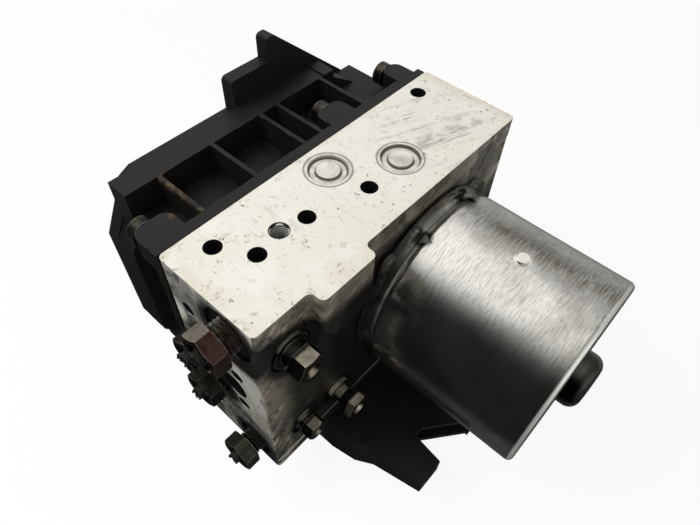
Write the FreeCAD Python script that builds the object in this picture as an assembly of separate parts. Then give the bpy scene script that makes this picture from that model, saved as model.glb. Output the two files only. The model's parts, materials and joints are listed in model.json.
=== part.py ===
import FreeCAD, Part
import math
import os

from FreeCAD import Vector

# Anti-lock brake module: valve block, pump motor and control unit in one stack.
# All sizes are millimetres. The pieces are laid out from the block's near top
# corner on the control unit's side: +X along the block, +Y towards the control
# unit, -Y towards the pump motor, +Z up. They leave the file moved so that the
# origin is the start of the M6 mounting thread, just under the countersink in the
# block's top face.

# Fits and gaps
run_gap = 0.03
body_gap = 0.3

# Valve block: its length follows from the columns of valves; the motor plugs through at the empty column
valve_first_x = 27.0
valve_pitch = 21.0
valve_steps = (0, 1, 2, 4)
valve_end_margin = 19.0
block_length = valve_first_x + valve_steps[-1] * valve_pitch + valve_end_margin
block_depth = 41.5
block_height = 98.8
block_corner_r = 1.8
face_relief = 0.6
top_strip = 8.0
bottom_strip = 5.0
pad_start = 21.5
pad_end = 45.0
pad_proud = 5.4
pad_drop = 22.0
pad_corner_r = 2.2
pad_lower_r = 9.0

# Mounting thread and the drilled holes of the top face: x, distance from the unit's face
mount_x = 31.5
mount_w = 18.6
mount_tap_r = 2.5
mount_depth = 16.0
mount_sink_r = 3.54
drill_r = 3.05
drill_depth = 12.0
far_drilling_inset = 13.3
top_drillings = [(13.4, 9.0), (20.5, 20.8), (41.3, 20.85), (64.7, 26.4),
                 (block_length - far_drilling_inset, 6.3)]

# Drilled holes, ports and fittings of the near end face: distance from the unit's face, height below the top
end_drillings = [(8.7, 18.7), (27.6, 39.2), (27.6, 59.6), (9.5, 80.8)]
end_drill_depth = 9.0
open_port = (24.5, 49.2)
open_port_r = 6.1
open_port_depth = 12.0
inlet_port = (28.5, 12.0)
upper_port = (13.8, 32.6)
middle_port = (13.6, 57.8)
lower_port_w = 29.3
lower_port_rise = 10.3
port_thread_r = 5.0
inlet_thread_r = 6.0
port_depth = 13.0
inlet_spotface_r = 10.2
lower_spotface_r = 8.2
small_spotface_r = 6.8
spotface_depth = 1.2

# Fittings of the motor face: x, height below the top or above the bottom
flanged_plug_at = (12.8, 22.5)
bleed_plug_x = 16.0
bleed_plug_rise = 18.8
tall_plug_x = 34.0
tall_plug_rise = 18.3
plug_spotface_r = 8.4
motor_side_depth = 7.5

# Tube nuts and plugs
inlet_nut_af = 14.0
small_nut_af = 13.0
flanged_plug_af = 10.4
tall_plug_af = 10.0
bleed_plug_af = 8.0
nut_height = 5.9
inlet_neck = 4.4
lower_neck = 4.2
small_neck = 2.2
thread_pitch = 1.25
thread_height = 0.7
nut_rim = 1.7
nut_recess = 4.4
tube_r = 2.4
tube_stub = 1.6
tube_bore_r = 1.7
plug_thread_r = 5.0
bleed_thread_r = 3.5
tall_thread_r = 4.0

# Pump and motor axis
pump_x = 83.0
pump_plane_w = 24.9
shaft_r = 4.0
eccentric_r = 5.0
eccentricity = 0.6
race_outer_r = 8.5
race_width = 11.0
chamber_wall_gap = 0.7
chamber_depth = 23.0
pilot_r = 14.0
pilot_depth = 7.0

# Pump elements, measured outwards from the pump axis
piston_r = 3.0
piston_length = 13.6
liner_r = 5.6
liner_start = 11.2
liner_end = 36.0
liner_flange_r = 7.0
liner_flange = 3.0
pump_spring_length = 8.0
pump_coil_r = 2.1
cover_r = 8.1
pump_cover_depth = 8.4

# Low-pressure accumulators
store_x = 61.6
store_w = 10.8
store_bore_r = 6.6
store_depth = 25.0
store_cover_depth = 4.5
store_piston_length = 8.0
store_piston_floor = 2.0
store_stroke = 5.0
store_seal_width = 1.6
store_coil_r = 4.1
store_seal_depth = 1.1

# Solenoid valves: two rows of four
valve_row_offset = 13.4
valve_r = 5.5
valve_depth = 14.0
dome_r = 3.6
dome_bore_r = 2.95
dome_length = 24.0
dome_end = 2.0
plunger_r = 2.9
plunger_length = 10.0
plunger_pin_r = 1.0
plunger_pin = 15.8
seat_floor = 5.0
seat_gap = 0.05
valve_lift = 0.25
seat_r = 0.6
coil_side_gap = 0.8
coil_r = valve_pitch / 2 - coil_side_gap
coil_length = 24.5
coil_foot = 2.0

# Pump motor
can_r = 38.0
can_wall = 1.6
can_end_w = 109.0
can_rim_r = 2.2
can_flange_r = 39.3
can_flange = 2.6
shoulder_r = 36.6
shoulder_gap = 1.0
shoulder_length = 3.4
notch_angles = (70.0, 110.0, 250.0, 290.0)
notch_width = 4.6
notch_length = 5.4
notch_floor = 0.6
can_ear_angles = (48.0, 132.0, 228.0, 312.0)
can_ear_at = 37.4
can_ear_r = 5.2
boss_r = 10.8
boss_height = 6.8
boss_edge_r = 4.5
rivet_w = 77.0
rivet_r = 2.4
rivet_height = 1.1
motor_seal_r = 37.2
motor_seal_inner_r = 27.5
motor_seal = 1.0
end_plate = 4.0
end_plate_gap = 0.15
bearing_r = 11.0
bearing_width = 7.0
bearing_race = 2.4
rear_bush_r = 7.4
rear_bush_length = 9.0
core_r = 29.6
core_length = 32.0
core_start_w = 66.0
core_slots = 12
slot_width = 4.2
slot_depth = 13.0
slot_floor_gap = 0.0
winding_r = 27.0
winding_hub_r = 12.0
winding_overhang = 6.0
magnet_count = 4
magnet_angle = 62.0
magnet_inner_r = 30.6
magnet_length = 40.0
commutator_r = 10.5
commutator_length = 11.0
commutator_start_w = 49.5
brush_plate_r = 33.5
brush_plate = 2.0
brush_plate_w = 47.0
brush_size = 6.0
brush_length = 9.0
brush_coil_r = 1.9
motor_screw_circle_r = 32.0
motor_screw_angles = [60.0, 180.0, 300.0]
motor_screw_r = 2.5
motor_screw_head_r = 4.3
motor_screw_head = 4.8
contact_x = 103.0
contact_r = 2.0
contact_bore_r = 4.0

# Control unit, measured along +Y from the block's face
unit_seal = 0.8
unit_flange = 3.2
unit_top = 0.6
unit_rear_w = 37.5
unit_back_w = 43.0
unit_wall = 2.4
unit_near_x = 8.0
unit_far_x = block_length - 4.0
unit_floor_rise = 5.0
well_floor = 12.0
well_front_w = 5.0
well_rear_w = 28.0
ledge_far_x = block_length - 24.0
rib_thick = 1.6
rib_end_w = 26.5
rib_places = [21.2, 43.6, 66.4, 74.9, 98.0]
lug_depth = 14.0
lug_drop = 9.2
lug_corner_r = 4.0
partition_w = 31.0
partition = 2.0
board = 1.6
unit_screw_r = 2.5
unit_screw_head_r = 4.6
unit_screw_head = 3.6
unit_screw_inset = 4.9
unit_screw_grip = 9.0

# Screw lugs: x of the screw, where the lug starts and ends
top_lugs = [(4.8, 0.0, 14.0), (86.5, 80.0, 93.0),
            (block_length - 7.4, block_length - 12.0, block_length - 2.8)]
bottom_lugs = [(6.2, 0.0, 13.0), (block_length - 7.0, block_length - 13.5, block_length - 0.5)]

# Edge of the rear cover: heights from the block's top, upwards positive
cover_top = -3.2
cover_cut_x = 18.9
cover_near_x = 3.2
cover_near_top = -26.0
cover_step_x = 62.3
cover_step_top = 10.2
ear_x = 80.3
ear_end_x = 84.2
ear_top = 19.5
cover_far_top = -20.0
cover_far_rise = 12.8
cover_near_rise = 23.8
cover_base_rise = 1.0
cover_corner_r = 1.9
field_inset = 13.0
field_proud = 2.0
fin_proud = 4.0
fin_thick = 1.8
fin_pitch = 8.0

# Control unit's connector, beside the block and facing the motor's end
tower_near_x = 46.5
tower_far_x = 104.0
tower_gap = 1.2
tower_height = 15.0
tower_wall = 2.2
tower_mouth_w = 88.0
tower_notch_w = 73.5
tower_notch_x = 52.0
tower_slant_x = 69.0
tower_slant_w = 86.9
pin_carrier_w = 50.0
pin_carrier = 6.0
pin_rows = 2
pin_columns = 12
pin_pitch = 4.0
pin_row_pitch = 5.4
pin_size = 1.0
pin_reach_w = 64.0
arm_near_x = 27.5
arm_height = 24.0
arm_root_w = 45.0
arm_bend_w = 57.0
arm_taper_w = 66.0
arm_tip_near_x = 32.5
arm_tip_far_x = 44.5
arm_tip_rise = 3.5
arm_tip_height = 10.0
arm_tip_w = 88.0
arm_slot_x = 36.0
arm_slot_width = 6.0
arm_slot_drop = 3.0
arm_slot_height = 4.5
arm_slot_depth = 20.0

# Parts of the circuit board: x, height below the top, length, height and thickness
board_parts = [(57.0, 51.0, 14.0, 14.0, 1.2), (86.0, 35.0, 12.0, 10.0, 1.5), (29.0, 35.0, 10.0, 10.0, 1.5),
               (29.0, 65.0, 10.0, 10.0, 1.5), (73.0, 75.0, 6.0, 6.0, 1.0)]

# Drillings of the far end, closed by balls: distance from the unit's face, height below the top
far_drillings = [(12.0, 20.0), (30.0, 20.0), (12.0, 79.0), (30.0, 79.0)]
far_ball_r = 3.0
far_drill_depth = 8.0
far_ball_inset = 3.4

# Places worked out from the sizes above
mount_point = Vector(mount_x, -mount_w, -(mount_sink_r - mount_tap_r))
pump_z = -block_height / 2
face_y = -(block_depth - face_relief)
pump_y = -pump_plane_w
sweep_r = race_outer_r + eccentricity
chamber_r = sweep_r + chamber_wall_gap
chamber_end_y = face_y + chamber_depth
piston_start = sweep_r + body_gap
pump_stroke = 2 * eccentricity
seal_y = face_y - motor_seal
can_y = -can_end_w
can_inner_r = can_r - can_wall
plate_y = seal_y - end_plate
bearing_y = face_y + pilot_depth
lower_port = (lower_port_w, block_height - lower_port_rise)
bleed_plug_at = (bleed_plug_x, block_height - bleed_plug_rise)
tall_plug_at = (tall_plug_x, block_height - tall_plug_rise)
valve_columns = [valve_first_x + step * valve_pitch for step in valve_steps]
tower_top = block_height + tower_gap
tower_bottom = tower_top + tower_height
arm_bottom = tower_top + arm_height
arm_tip_top = tower_top - arm_tip_rise
arm_tip_bottom = arm_tip_top + arm_tip_height
unit_lugs = [(x, -unit_screw_inset, start, end) for x, start, end in top_lugs]
unit_lugs += [(x, -block_height + unit_screw_inset, start, end) for x, start, end in bottom_lugs]
AXES = {"x": (Vector(0, 1, 0), 90), "y": (Vector(1, 0, 0), -90), "z": (Vector(0, 0, 1), 0)}


def box(x0, x1, y0, y1, z0, z1):
    return Part.makeBox(x1 - x0, y1 - y0, z1 - z0, Vector(x0, y0, z0))


def place(shape, axis, at):
    """Turn a shape drawn on +Z to an axis and move it to its two other coordinates."""
    turn, angle = AXES[axis]
    shape.rotate(Vector(0, 0, 0), turn, angle)
    first, second = at
    moves = {"x": Vector(0, first, second), "y": Vector(first, 0, second), "z": Vector(first, second, 0)}
    shape.translate(moves[axis])
    return shape


def rod(axis, at, radius, start, end):
    low, high = min(start, end), max(start, end)
    return place(Part.makeCylinder(radius, high - low, Vector(0, 0, low)), axis, at)


def turned(axis, at, profile):
    """Revolve a closed outline of (radius, place along the axis) points."""
    points = [Vector(radius, 0, along) for radius, along in profile]
    face = Part.Face(Part.makePolygon(points + points[:1]))
    return place(face.revolve(Vector(0, 0, 0), Vector(0, 0, 1), 360), axis, at)


def ring(axis, at, inner, outer, start, end):
    return turned(axis, at, [(inner, start), (outer, start), (outer, end), (inner, end)])


def hexagon(axis, at, across_flats, start, end):
    low, high = min(start, end), max(start, end)
    radius = across_flats / math.sqrt(3)
    corners = [Vector(radius * math.cos(math.radians(60 * k)), radius * math.sin(math.radians(60 * k)), low)
               for k in range(6)]
    prism = Part.Face(Part.makePolygon(corners + corners[:1])).extrude(Vector(0, 0, high - low))
    return place(prism, axis, at)


def prism(points, direction):
    """Extrude a closed outline of points."""
    return Part.Face(Part.makePolygon(points + points[:1])).extrude(direction)


def fused(shapes):
    whole = shapes[0].multiFuse(shapes[1:])
    return whole.removeSplitter()


def group(shapes):
    return Part.makeCompound(shapes)


def rounded(shape, radius, wanted):
    """Round the straight edges whose middle and direction pass the test."""
    picked = []
    for edge in shape.Edges:
        if len(edge.Vertexes) == 2 and edge.Curve.TypeId == "Part::GeomLine":
            middle = edge.valueAt((edge.FirstParameter + edge.LastParameter) / 2)
            if wanted(middle, edge.tangentAt(edge.FirstParameter)):
                picked.append(edge)
    return shape.makeFillet(radius, picked)


def coil_spring(at, low, high, coil_radius, wire_r, turns):
    """A compression spring on a Z axis: a swept wire that ends on both seats."""
    rise = (high - low - 2 * wire_r) / turns
    helix = Part.makeHelix(rise, rise * turns, coil_radius)
    section = Part.Wire([Part.makeCircle(wire_r, Vector(coil_radius, 0, 0), Vector(0, 1, 0))])
    wire = Part.Wire(helix).makePipeShell([section], True, True)
    wire.translate(Vector(at[0], at[1], low + wire_r))
    return wire


def export(name, shape):
    placed = shape.copy()
    placed.translate(mount_point.negative())
    placed.exportStep("parts/" + name + ".step")


# Valve block

def block_pad():
    """The raised pad of the motor face, rounded into it at both ends and at its lower near corner."""
    y_face, y_pad = -block_depth, -(block_depth + pad_proud)
    low, high = pad_start, pad_end
    r = pad_corner_r
    diagonal = r * (1 - math.sqrt(0.5))
    corner = [Vector(low - r, y_face, 0), Vector(low - diagonal, y_face - diagonal, 0),
              Vector(low, y_face - r, 0)]
    edges = [Part.Arc(*corner).toShape(),
             Part.LineSegment(corner[2], Vector(low, y_pad + r, 0)).toShape(),
             Part.Arc(Vector(low, y_pad + r, 0), Vector(low + diagonal, y_pad + diagonal, 0),
                      Vector(low + r, y_pad, 0)).toShape(),
             Part.LineSegment(Vector(low + r, y_pad, 0), Vector(high - r, y_pad, 0)).toShape(),
             Part.Arc(Vector(high - r, y_pad, 0), Vector(high - diagonal, y_pad + diagonal, 0),
                      Vector(high, y_pad + r, 0)).toShape(),
             Part.LineSegment(Vector(high, y_pad + r, 0), Vector(high, y_face - r, 0)).toShape(),
             Part.Arc(Vector(high, y_face - r, 0), Vector(high + diagonal, y_face - diagonal, 0),
                      Vector(high + r, y_face, 0)).toShape()]
    inside_y = y_face + 2 * face_relief
    edges += [Part.LineSegment(Vector(high + r, y_face, 0), Vector(high + r, inside_y, 0)).toShape(),
              Part.LineSegment(Vector(high + r, inside_y, 0), Vector(low - r, inside_y, 0)).toShape(),
              Part.LineSegment(Vector(low - r, inside_y, 0), Vector(low - r, y_face, 0)).toShape()]
    pad = Part.Face(Part.Wire(edges)).extrude(Vector(0, 0, -pad_drop))
    corner_cut = box(low - 2 * r, low + pad_lower_r, y_pad - r, y_face, -pad_drop, -pad_drop + pad_lower_r)
    corner_cut = corner_cut.cut(rod("y", (low + pad_lower_r, -pad_drop + pad_lower_r), pad_lower_r,
                                    y_pad - 2 * r, y_face + 1))
    return pad.cut(corner_cut)


def block_body():
    body = box(0, block_length, -block_depth, 0, -block_height, 0)
    body = rounded(body, block_corner_r, lambda middle, along: abs(along.z) > 0.9)
    relief = box(-1, block_length + 1, -block_depth - 1, face_y, -block_height + bottom_strip, -top_strip)
    return body.cut(relief).fuse(block_pad()).removeSplitter()


def port(axis, at, face, inwards, thread_r, depth, spot_r):
    """A threaded port with a drill point and a spotface; inwards is the sign of the way into the metal."""
    floor = face + inwards * depth
    spot = face + inwards * spotface_depth
    return turned(axis, at, [(0, face - inwards), (spot_r, face - inwards), (spot_r, spot),
                             (thread_r, spot), (thread_r, floor), (0, floor + inwards * thread_r * 0.5)])


def blind_hole(axis, at, face, inwards, radius, depth):
    floor = face + inwards * depth
    return turned(axis, at, [(0, face - inwards), (radius, face - inwards), (radius, floor),
                             (0, floor + inwards * radius * 0.55)])


def top_cuts():
    cuts = [blind_hole("z", (x, -w), 0, -1, drill_r, drill_depth) for x, w in top_drillings]
    sink = mount_sink_r - mount_tap_r
    cuts.append(turned("z", (mount_x, -mount_w),
                       [(0, 1), (mount_sink_r, 1), (mount_sink_r, 0), (mount_tap_r, -sink),
                        (mount_tap_r, -mount_depth), (0, -mount_depth - mount_tap_r * 0.55)]))
    return cuts


def end_cuts():
    cuts = [blind_hole("x", (-w, -h), 0, 1, drill_r - 0.15, end_drill_depth) for w, h in end_drillings]
    cuts.append(blind_hole("x", (-open_port[0], -open_port[1]), 0, 1, open_port_r, open_port_depth))
    inlet_at = (-inlet_port[0], -inlet_port[1])
    cuts.append(port("x", inlet_at, 0, 1, inlet_thread_r, port_depth, inlet_spotface_r))
    for (w, h), spot in ((upper_port, small_spotface_r), (middle_port, small_spotface_r),
                         (lower_port, lower_spotface_r)):
        cuts.append(port("x", (-w, -h), 0, 1, port_thread_r, port_depth, spot))
    return cuts


def motor_side_cuts():
    cuts = []
    for (x, h), thread_r, spot_r in ((flanged_plug_at, plug_thread_r, plug_spotface_r),
                                     (bleed_plug_at, bleed_thread_r, small_spotface_r),
                                     (tall_plug_at, tall_thread_r, small_spotface_r)):
        cuts.append(port("y", (x, -h), face_y, 1, thread_r, motor_side_depth, spot_r))
    return cuts


def pump_cuts():
    axis = (pump_x, pump_z)
    half = block_height / 2
    cuts = [rod("y", axis, pilot_r + run_gap, face_y - 1, bearing_y),
            rod("y", axis, chamber_r, face_y - 1, chamber_end_y)]
    for side in (1, -1):
        centre = (pump_x, pump_y)
        steps = [(liner_r, 0.0, liner_end - liner_flange), (liner_flange_r, 0.0, half - pump_cover_depth),
                 (cover_r, half - pump_cover_depth, half + 1)]
        cuts.append(rod("z", centre, steps[0][0], pump_z + side * steps[0][1], pump_z + side * steps[0][2]))
        flange_low, flange_high = pump_z + side * steps[0][2], pump_z + side * steps[1][2]
        cuts.append(rod("z", centre, liner_flange_r, flange_low, flange_high))
        cuts.append(rod("z", centre, cover_r, pump_z + side * steps[2][1], pump_z + side * steps[2][2]))
    return cuts


def store_cuts():
    cuts = []
    for face, inwards in ((0, -1), (-block_height, 1)):
        centre = (store_x, -store_w)
        cuts.append(rod("z", centre, cover_r, face - inwards, face + inwards * store_cover_depth))
        cuts.append(rod("z", centre, store_bore_r, face, face + inwards * store_depth))
    return cuts


def valve_places():
    return [(x, pump_z + side * valve_row_offset) for side in (1, -1) for x in valve_columns]


def valve_and_motor_cuts():
    cuts = [rod("y", at, valve_r, 1, -valve_depth) for at in valve_places()]
    cuts.append(rod("y", (contact_x, pump_z), contact_bore_r, 1, -block_depth - 1))
    for at in motor_screw_places():
        cuts.append(rod("y", at, motor_screw_r + body_gap, 1, -block_depth - 1))
        cuts.append(rod("y", at, motor_screw_head_r + body_gap, 1, -motor_screw_head - body_gap))
    for x, z, start, end in unit_lugs:
        cuts.append(rod("y", (x, z), unit_screw_r, 1, -unit_screw_grip - 1.0))
    return cuts


def motor_screw_places():
    return [(pump_x + motor_screw_circle_r * math.cos(math.radians(angle)),
             pump_z + motor_screw_circle_r * math.sin(math.radians(angle))) for angle in motor_screw_angles]


def hydraulic_block():
    cuts = top_cuts() + end_cuts() + motor_side_cuts() + pump_cuts() + store_cuts() + valve_and_motor_cuts()
    return block_body().cut(cuts)


def pressed_cover(at, face, outwards, depth):
    """A pressed-in round cover: a rim, a sunk ring and a dished centre, flush with the block."""
    rim, groove, sunk, centre = 8.1, 6.6, 1.1, 4.3
    scale = cover_r / rim
    outline = [(0, face - outwards * depth), (cover_r, face - outwards * depth), (cover_r, face),
               ((groove + 0.5) * scale, face), (groove * scale, face - outwards * sunk),
               ((centre + 0.4) * scale, face - outwards * sunk), (centre * scale, face - outwards * 0.15),
               (0, face - outwards * 0.35)]
    return turned("z", at, outline)


# Pump elements

def pump_liner(side):
    bore_end = piston_start + piston_length + pump_spring_length
    points = [(piston_r + run_gap, liner_start), (liner_r, liner_start), (liner_r, liner_end - liner_flange),
              (liner_flange_r, liner_end - liner_flange), (liner_flange_r, liner_end), (1.2, liner_end),
              (1.2, bore_end), (piston_r + run_gap, bore_end)]
    return turned("z", (pump_x, pump_y), [(r, pump_z + side * s) for r, s in points])


def pump_piston(side):
    start, end = piston_start, piston_start + piston_length
    points = [(0, start), (piston_r - 0.5, start), (piston_r, start + 0.5), (piston_r, end), (1.2, end),
              (1.2, end - 3.0), (0, end - 3.0)]
    return turned("z", (pump_x, pump_y), [(r, pump_z + side * s) for r, s in points])


def pump_spring(side):
    start = piston_start + piston_length
    ends = [pump_z + side * start, pump_z + side * (start + pump_spring_length)]
    return coil_spring((pump_x, pump_y), min(ends), max(ends), pump_coil_r, 0.45, 3)


# Accumulators

def store_faces(side):
    """The cover's inner face and the bore's floor of one accumulator."""
    face = 0 if side > 0 else -block_height
    return face - side * store_cover_depth, face - side * store_depth


def store_piston(side):
    cover, floor = store_faces(side)
    r = store_bore_r - run_gap
    groove_mid = floor + side * store_piston_length * 0.5
    half = store_seal_width / 2
    top = floor + side * store_piston_length
    points = [(0, floor), (r - 0.6, floor), (r, floor + side * 0.6), (r, groove_mid - side * half),
              (r - store_seal_depth, groove_mid - side * half),
              (r - store_seal_depth, groove_mid + side * half),
              (r, groove_mid + side * half), (r, top), (r - 1.2, top),
              (r - 1.2, floor + side * store_piston_floor), (0, floor + side * store_piston_floor)]
    return turned("z", (store_x, -store_w), points)


def store_seal(side):
    cover, floor = store_faces(side)
    middle = floor + side * store_piston_length * 0.5
    half = store_seal_width / 2
    outer = store_bore_r - run_gap / 2
    return ring("z", (store_x, -store_w), store_bore_r - run_gap - store_seal_depth, outer,
                middle - half, middle + half)


def store_spring(side):
    cover, floor = store_faces(side)
    seat = floor + side * store_piston_floor
    return coil_spring((store_x, -store_w), min(cover, seat), max(cover, seat), store_coil_r, 0.8, 4)


# Solenoid valves

def valve_body(at):
    """A pressed-in cartridge with its seat, and the thin closed tube that the plunger runs in."""
    tube_end = dome_length
    floor = -seat_floor
    outline = [(seat_r, -valve_depth), (valve_r - 0.8, -valve_depth), (valve_r, -valve_depth + 0.8),
               (valve_r, 0), (dome_r + 0.6, 0), (dome_r, 0.6), (dome_r, tube_end - 1.0),
               (dome_r - 1.0, tube_end), (0, tube_end), (0, tube_end - dome_end),
               (dome_bore_r, tube_end - dome_end), (dome_bore_r, floor), (seat_r, floor)]
    return turned("y", at, outline)


def valve_plunger(at, opened):
    """The moving core and its pin, resting on the seat or opened by its lift."""
    tip = -seat_floor + seat_gap + opened
    start = tip + plunger_pin
    end = start + plunger_length
    outline = [(0, tip), (seat_r, tip), (plunger_pin_r, tip + 0.8), (plunger_pin_r, start),
               (plunger_r, start), (plunger_r, end), (0, end)]
    return turned("y", at, outline)


def disc_spring_height():
    return 0.8


def valve_disc_spring(at):
    end = dome_length - dome_end
    return turned("y", at, [(1.0, end - disc_spring_height()), (1.4, end - disc_spring_height()),
                            (2.6, end - 0.3), (2.6, end), (2.2, end)])


def solenoid_coil(at):
    """A wound coil in its steel yoke, pushed over the valve's tube."""
    start = unit_seal + coil_foot
    end = start + coil_length
    outline = [(dome_r + body_gap, start), (coil_r, start), (coil_r, start + 1.5),
               (coil_r - 0.8, start + 1.5), (coil_r - 0.8, end - 1.5), (coil_r, end - 1.5),
               (coil_r, end), (dome_r + body_gap, end)]
    return turned("y", at, outline)


# Pump motor

def can_side(inset):
    """The can's wall from its shoulder to the rounded rim of its closed end, set in by a wall or not."""
    radius, end = can_r - inset, can_y + inset
    corner = can_rim_r - inset
    mid = corner * (1 - math.sqrt(0.5))
    low = seal_y - can_flange - shoulder_gap
    high = low - shoulder_length
    neck = shoulder_r - inset
    bulge = Vector(radius - (can_r - shoulder_r) * 0.28, (low + high) / 2, 0)
    return [Part.Arc(Vector(neck, low, 0), bulge, Vector(radius, high, 0)).toShape(),
            Part.LineSegment(Vector(radius, high, 0), Vector(radius, end + corner, 0)).toShape(),
            Part.Arc(Vector(radius, end + corner, 0), Vector(radius - mid, end + mid, 0),
                     Vector(radius - corner, end, 0)).toShape()]


def path(points):
    """Straight edges from point to point of (radius, place along the axis)."""
    corners = [Vector(radius, along, 0) for radius, along in points]
    return [Part.LineSegment(a, b).toShape() for a, b in zip(corners, corners[1:])]


def motor_can():
    """The deep-drawn can: flange, rounded shoulder, straight wall, rounded rim and domed bearing boss."""
    start = seal_y
    flange_out = start - can_flange
    low = flange_out - shoulder_gap
    boss_y = can_y - boss_height
    edge = boss_edge_r
    mid = edge * (1 - math.sqrt(0.5))
    neck_r = shoulder_r - can_wall
    base = path([(shoulder_r, low), (shoulder_r, flange_out), (can_flange_r, flange_out),
                 (can_flange_r, start), (neck_r, start), (neck_r, low)])
    end = path([(can_r - can_rim_r, can_y), (boss_r, can_y), (boss_r, boss_y + edge)])
    end.append(Part.Arc(Vector(boss_r, boss_y + edge, 0), Vector(boss_r - mid, boss_y + mid, 0),
                        Vector(boss_r - edge, boss_y, 0)).toShape())
    end += path([(boss_r - edge, boss_y), (0, boss_y), (0, boss_y + can_wall),
                 (rear_bush_r, boss_y + can_wall), (rear_bush_r, can_y + can_wall),
                 (can_r - can_rim_r, can_y + can_wall)])
    wire = Part.Wire(Part.__sortEdges__(can_side(0) + can_side(can_wall) + base + end))
    can = Part.Face(wire).revolve(Vector(0, 0, 0), Vector(0, 1, 0), 360)
    ears = [around_can(can_ear(), angle) for angle in can_ear_angles]
    can = fused([can] + ears)
    can = can.cut([around_can(can_notch(), angle) for angle in notch_angles])
    can.translate(Vector(pump_x, 0, pump_z))
    return can


def around_can(shape, angle):
    shape.rotate(Vector(0, 0, 0), Vector(0, 1, 0), -angle)
    return shape


def can_ear():
    """A low rounded lobe of the can's flange."""
    lobe = rod("y", (can_ear_at, 0), can_ear_r, seal_y - can_flange, seal_y)
    return lobe.cut(rod("y", (0, 0), can_r, seal_y - can_flange - 1, seal_y + 1))


def can_notch():
    """A dent pressed across the flange, which runs out to a point on the can's wall."""
    start, low = seal_y - can_flange * 0.4, seal_y - can_flange - shoulder_gap
    inner, half = can_r - can_wall + notch_floor, notch_width / 2
    outline = [(start, -half), (start, half), (low, half), (low - notch_length, 0), (low, -half)]
    return prism([Vector(inner, y, z) for y, z in outline], Vector(can_flange_r + 1 - inner, 0, 0))


def rivet():
    """The round head of the stud in the can's wall."""
    foot = pump_z + can_r
    top = foot + rivet_height
    outline = [(0, foot - can_wall), (rivet_r * 0.7, foot - can_wall), (rivet_r * 0.7, foot - 0.1),
               (rivet_r, foot - 0.1), (rivet_r, top - 0.2), (rivet_r - 0.3, top), (0, top)]
    return turned("z", (pump_x, -rivet_w), outline)


def motor_end_plate():
    """The steel plate that closes the can and carries the front bearing in its hub."""
    outer = shoulder_r - can_wall - end_plate_gap
    plate = turned("y", (pump_x, pump_z),
                   [(bearing_r, plate_y), (outer, plate_y), (outer, seal_y), (pilot_r, seal_y),
                    (pilot_r, bearing_y), (bearing_r - 1.2, bearing_y), (bearing_r - 1.2, bearing_y - 0.6),
                    (bearing_r, bearing_y - 0.6)])
    cuts = [rod("y", at, motor_screw_r - 0.3, seal_y + 1, plate_y - 1) for at in motor_screw_places()]
    cuts.append(rod("y", (contact_x, pump_z), contact_bore_r, seal_y + 1, plate_y - 1))
    return plate.cut(cuts)


def motor_magnets():
    """Curved ferrite segments bonded inside the can."""
    middle = -(core_start_w + core_length / 2)
    segments = []
    for k in range(magnet_count):
        whole = turned("y", (0, 0), [(magnet_inner_r, middle - magnet_length / 2),
                                     (can_inner_r, middle - magnet_length / 2),
                                     (can_inner_r, middle + magnet_length / 2),
                                     (magnet_inner_r, middle + magnet_length / 2)])
        half = math.radians(magnet_angle / 2)
        reach = 2 * can_r
        wedge = prism([Vector(0, middle - magnet_length, 0),
                       Vector(reach * math.cos(half), middle - magnet_length, reach * math.sin(half)),
                       Vector(reach * math.cos(half), middle - magnet_length, -reach * math.sin(half))],
                      Vector(0, 2 * magnet_length, 0))
        segment = whole.common(wedge)
        segment.rotate(Vector(0, 0, 0), Vector(0, 1, 0), 45 + 360.0 * k / magnet_count)
        segment.translate(Vector(pump_x, 0, pump_z))
        segments.append(segment)
    return group(segments)


def armature_shaft():
    boss_floor = can_y - boss_height + can_wall
    rear = boss_floor + body_gap
    start = pump_y - race_width / 2
    shaft = rod("y", (pump_x, pump_z), shaft_r, rear, start)
    cam = rod("y", (pump_x + eccentricity, pump_z), eccentric_r, start, pump_y + race_width / 2)
    return fused([shaft, cam])


def armature_core():
    """A slotted stack of laminations on the shaft."""
    start, end = -core_start_w, -(core_start_w + core_length)
    core = ring("y", (0, 0), shaft_r, core_r, end, start)
    slots = []
    for k in range(core_slots):
        slot = box(core_r - slot_depth, core_r - 2.0, end - 1, start + 1, -slot_width / 2, slot_width / 2)
        mouth = box(core_r - 3.0, core_r + 1, end - 1, start + 1, -slot_width / 5, slot_width / 5)
        for piece in (slot, mouth):
            piece.rotate(Vector(0, 0, 0), Vector(0, 1, 0), 360.0 * k / core_slots)
            slots.append(piece)
    core = core.cut(slots)
    core.translate(Vector(pump_x, 0, pump_z))
    return core


def armature_windings():
    """Copper bars lying in the slots, joined by the end turns on both sides of the stack."""
    start, end = -core_start_w, -(core_start_w + core_length)
    pieces = [turned("y", (0, 0), [(winding_hub_r, face), (winding_r, face), (winding_r - 2, face + out),
                                   (winding_hub_r + 2, face + out)])
              for face, out in ((start, winding_overhang), (end, -winding_overhang))]
    for k in range(core_slots):
        bar = box(core_r - slot_depth, winding_r, end, start, -slot_width / 2, slot_width / 2)
        bar.rotate(Vector(0, 0, 0), Vector(0, 1, 0), 360.0 * k / core_slots)
        pieces.append(bar)
    windings = fused(pieces)
    windings.translate(Vector(pump_x, 0, pump_z))
    return windings


def commutator():
    start, end = -commutator_start_w, -(commutator_start_w + commutator_length)
    return turned("y", (pump_x, pump_z), [(shaft_r, start), (commutator_r, start), (commutator_r, end + 1.5),
                                          (commutator_r + 1.5, end + 1.5), (commutator_r + 1.5, end),
                                          (shaft_r, end)])


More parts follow.
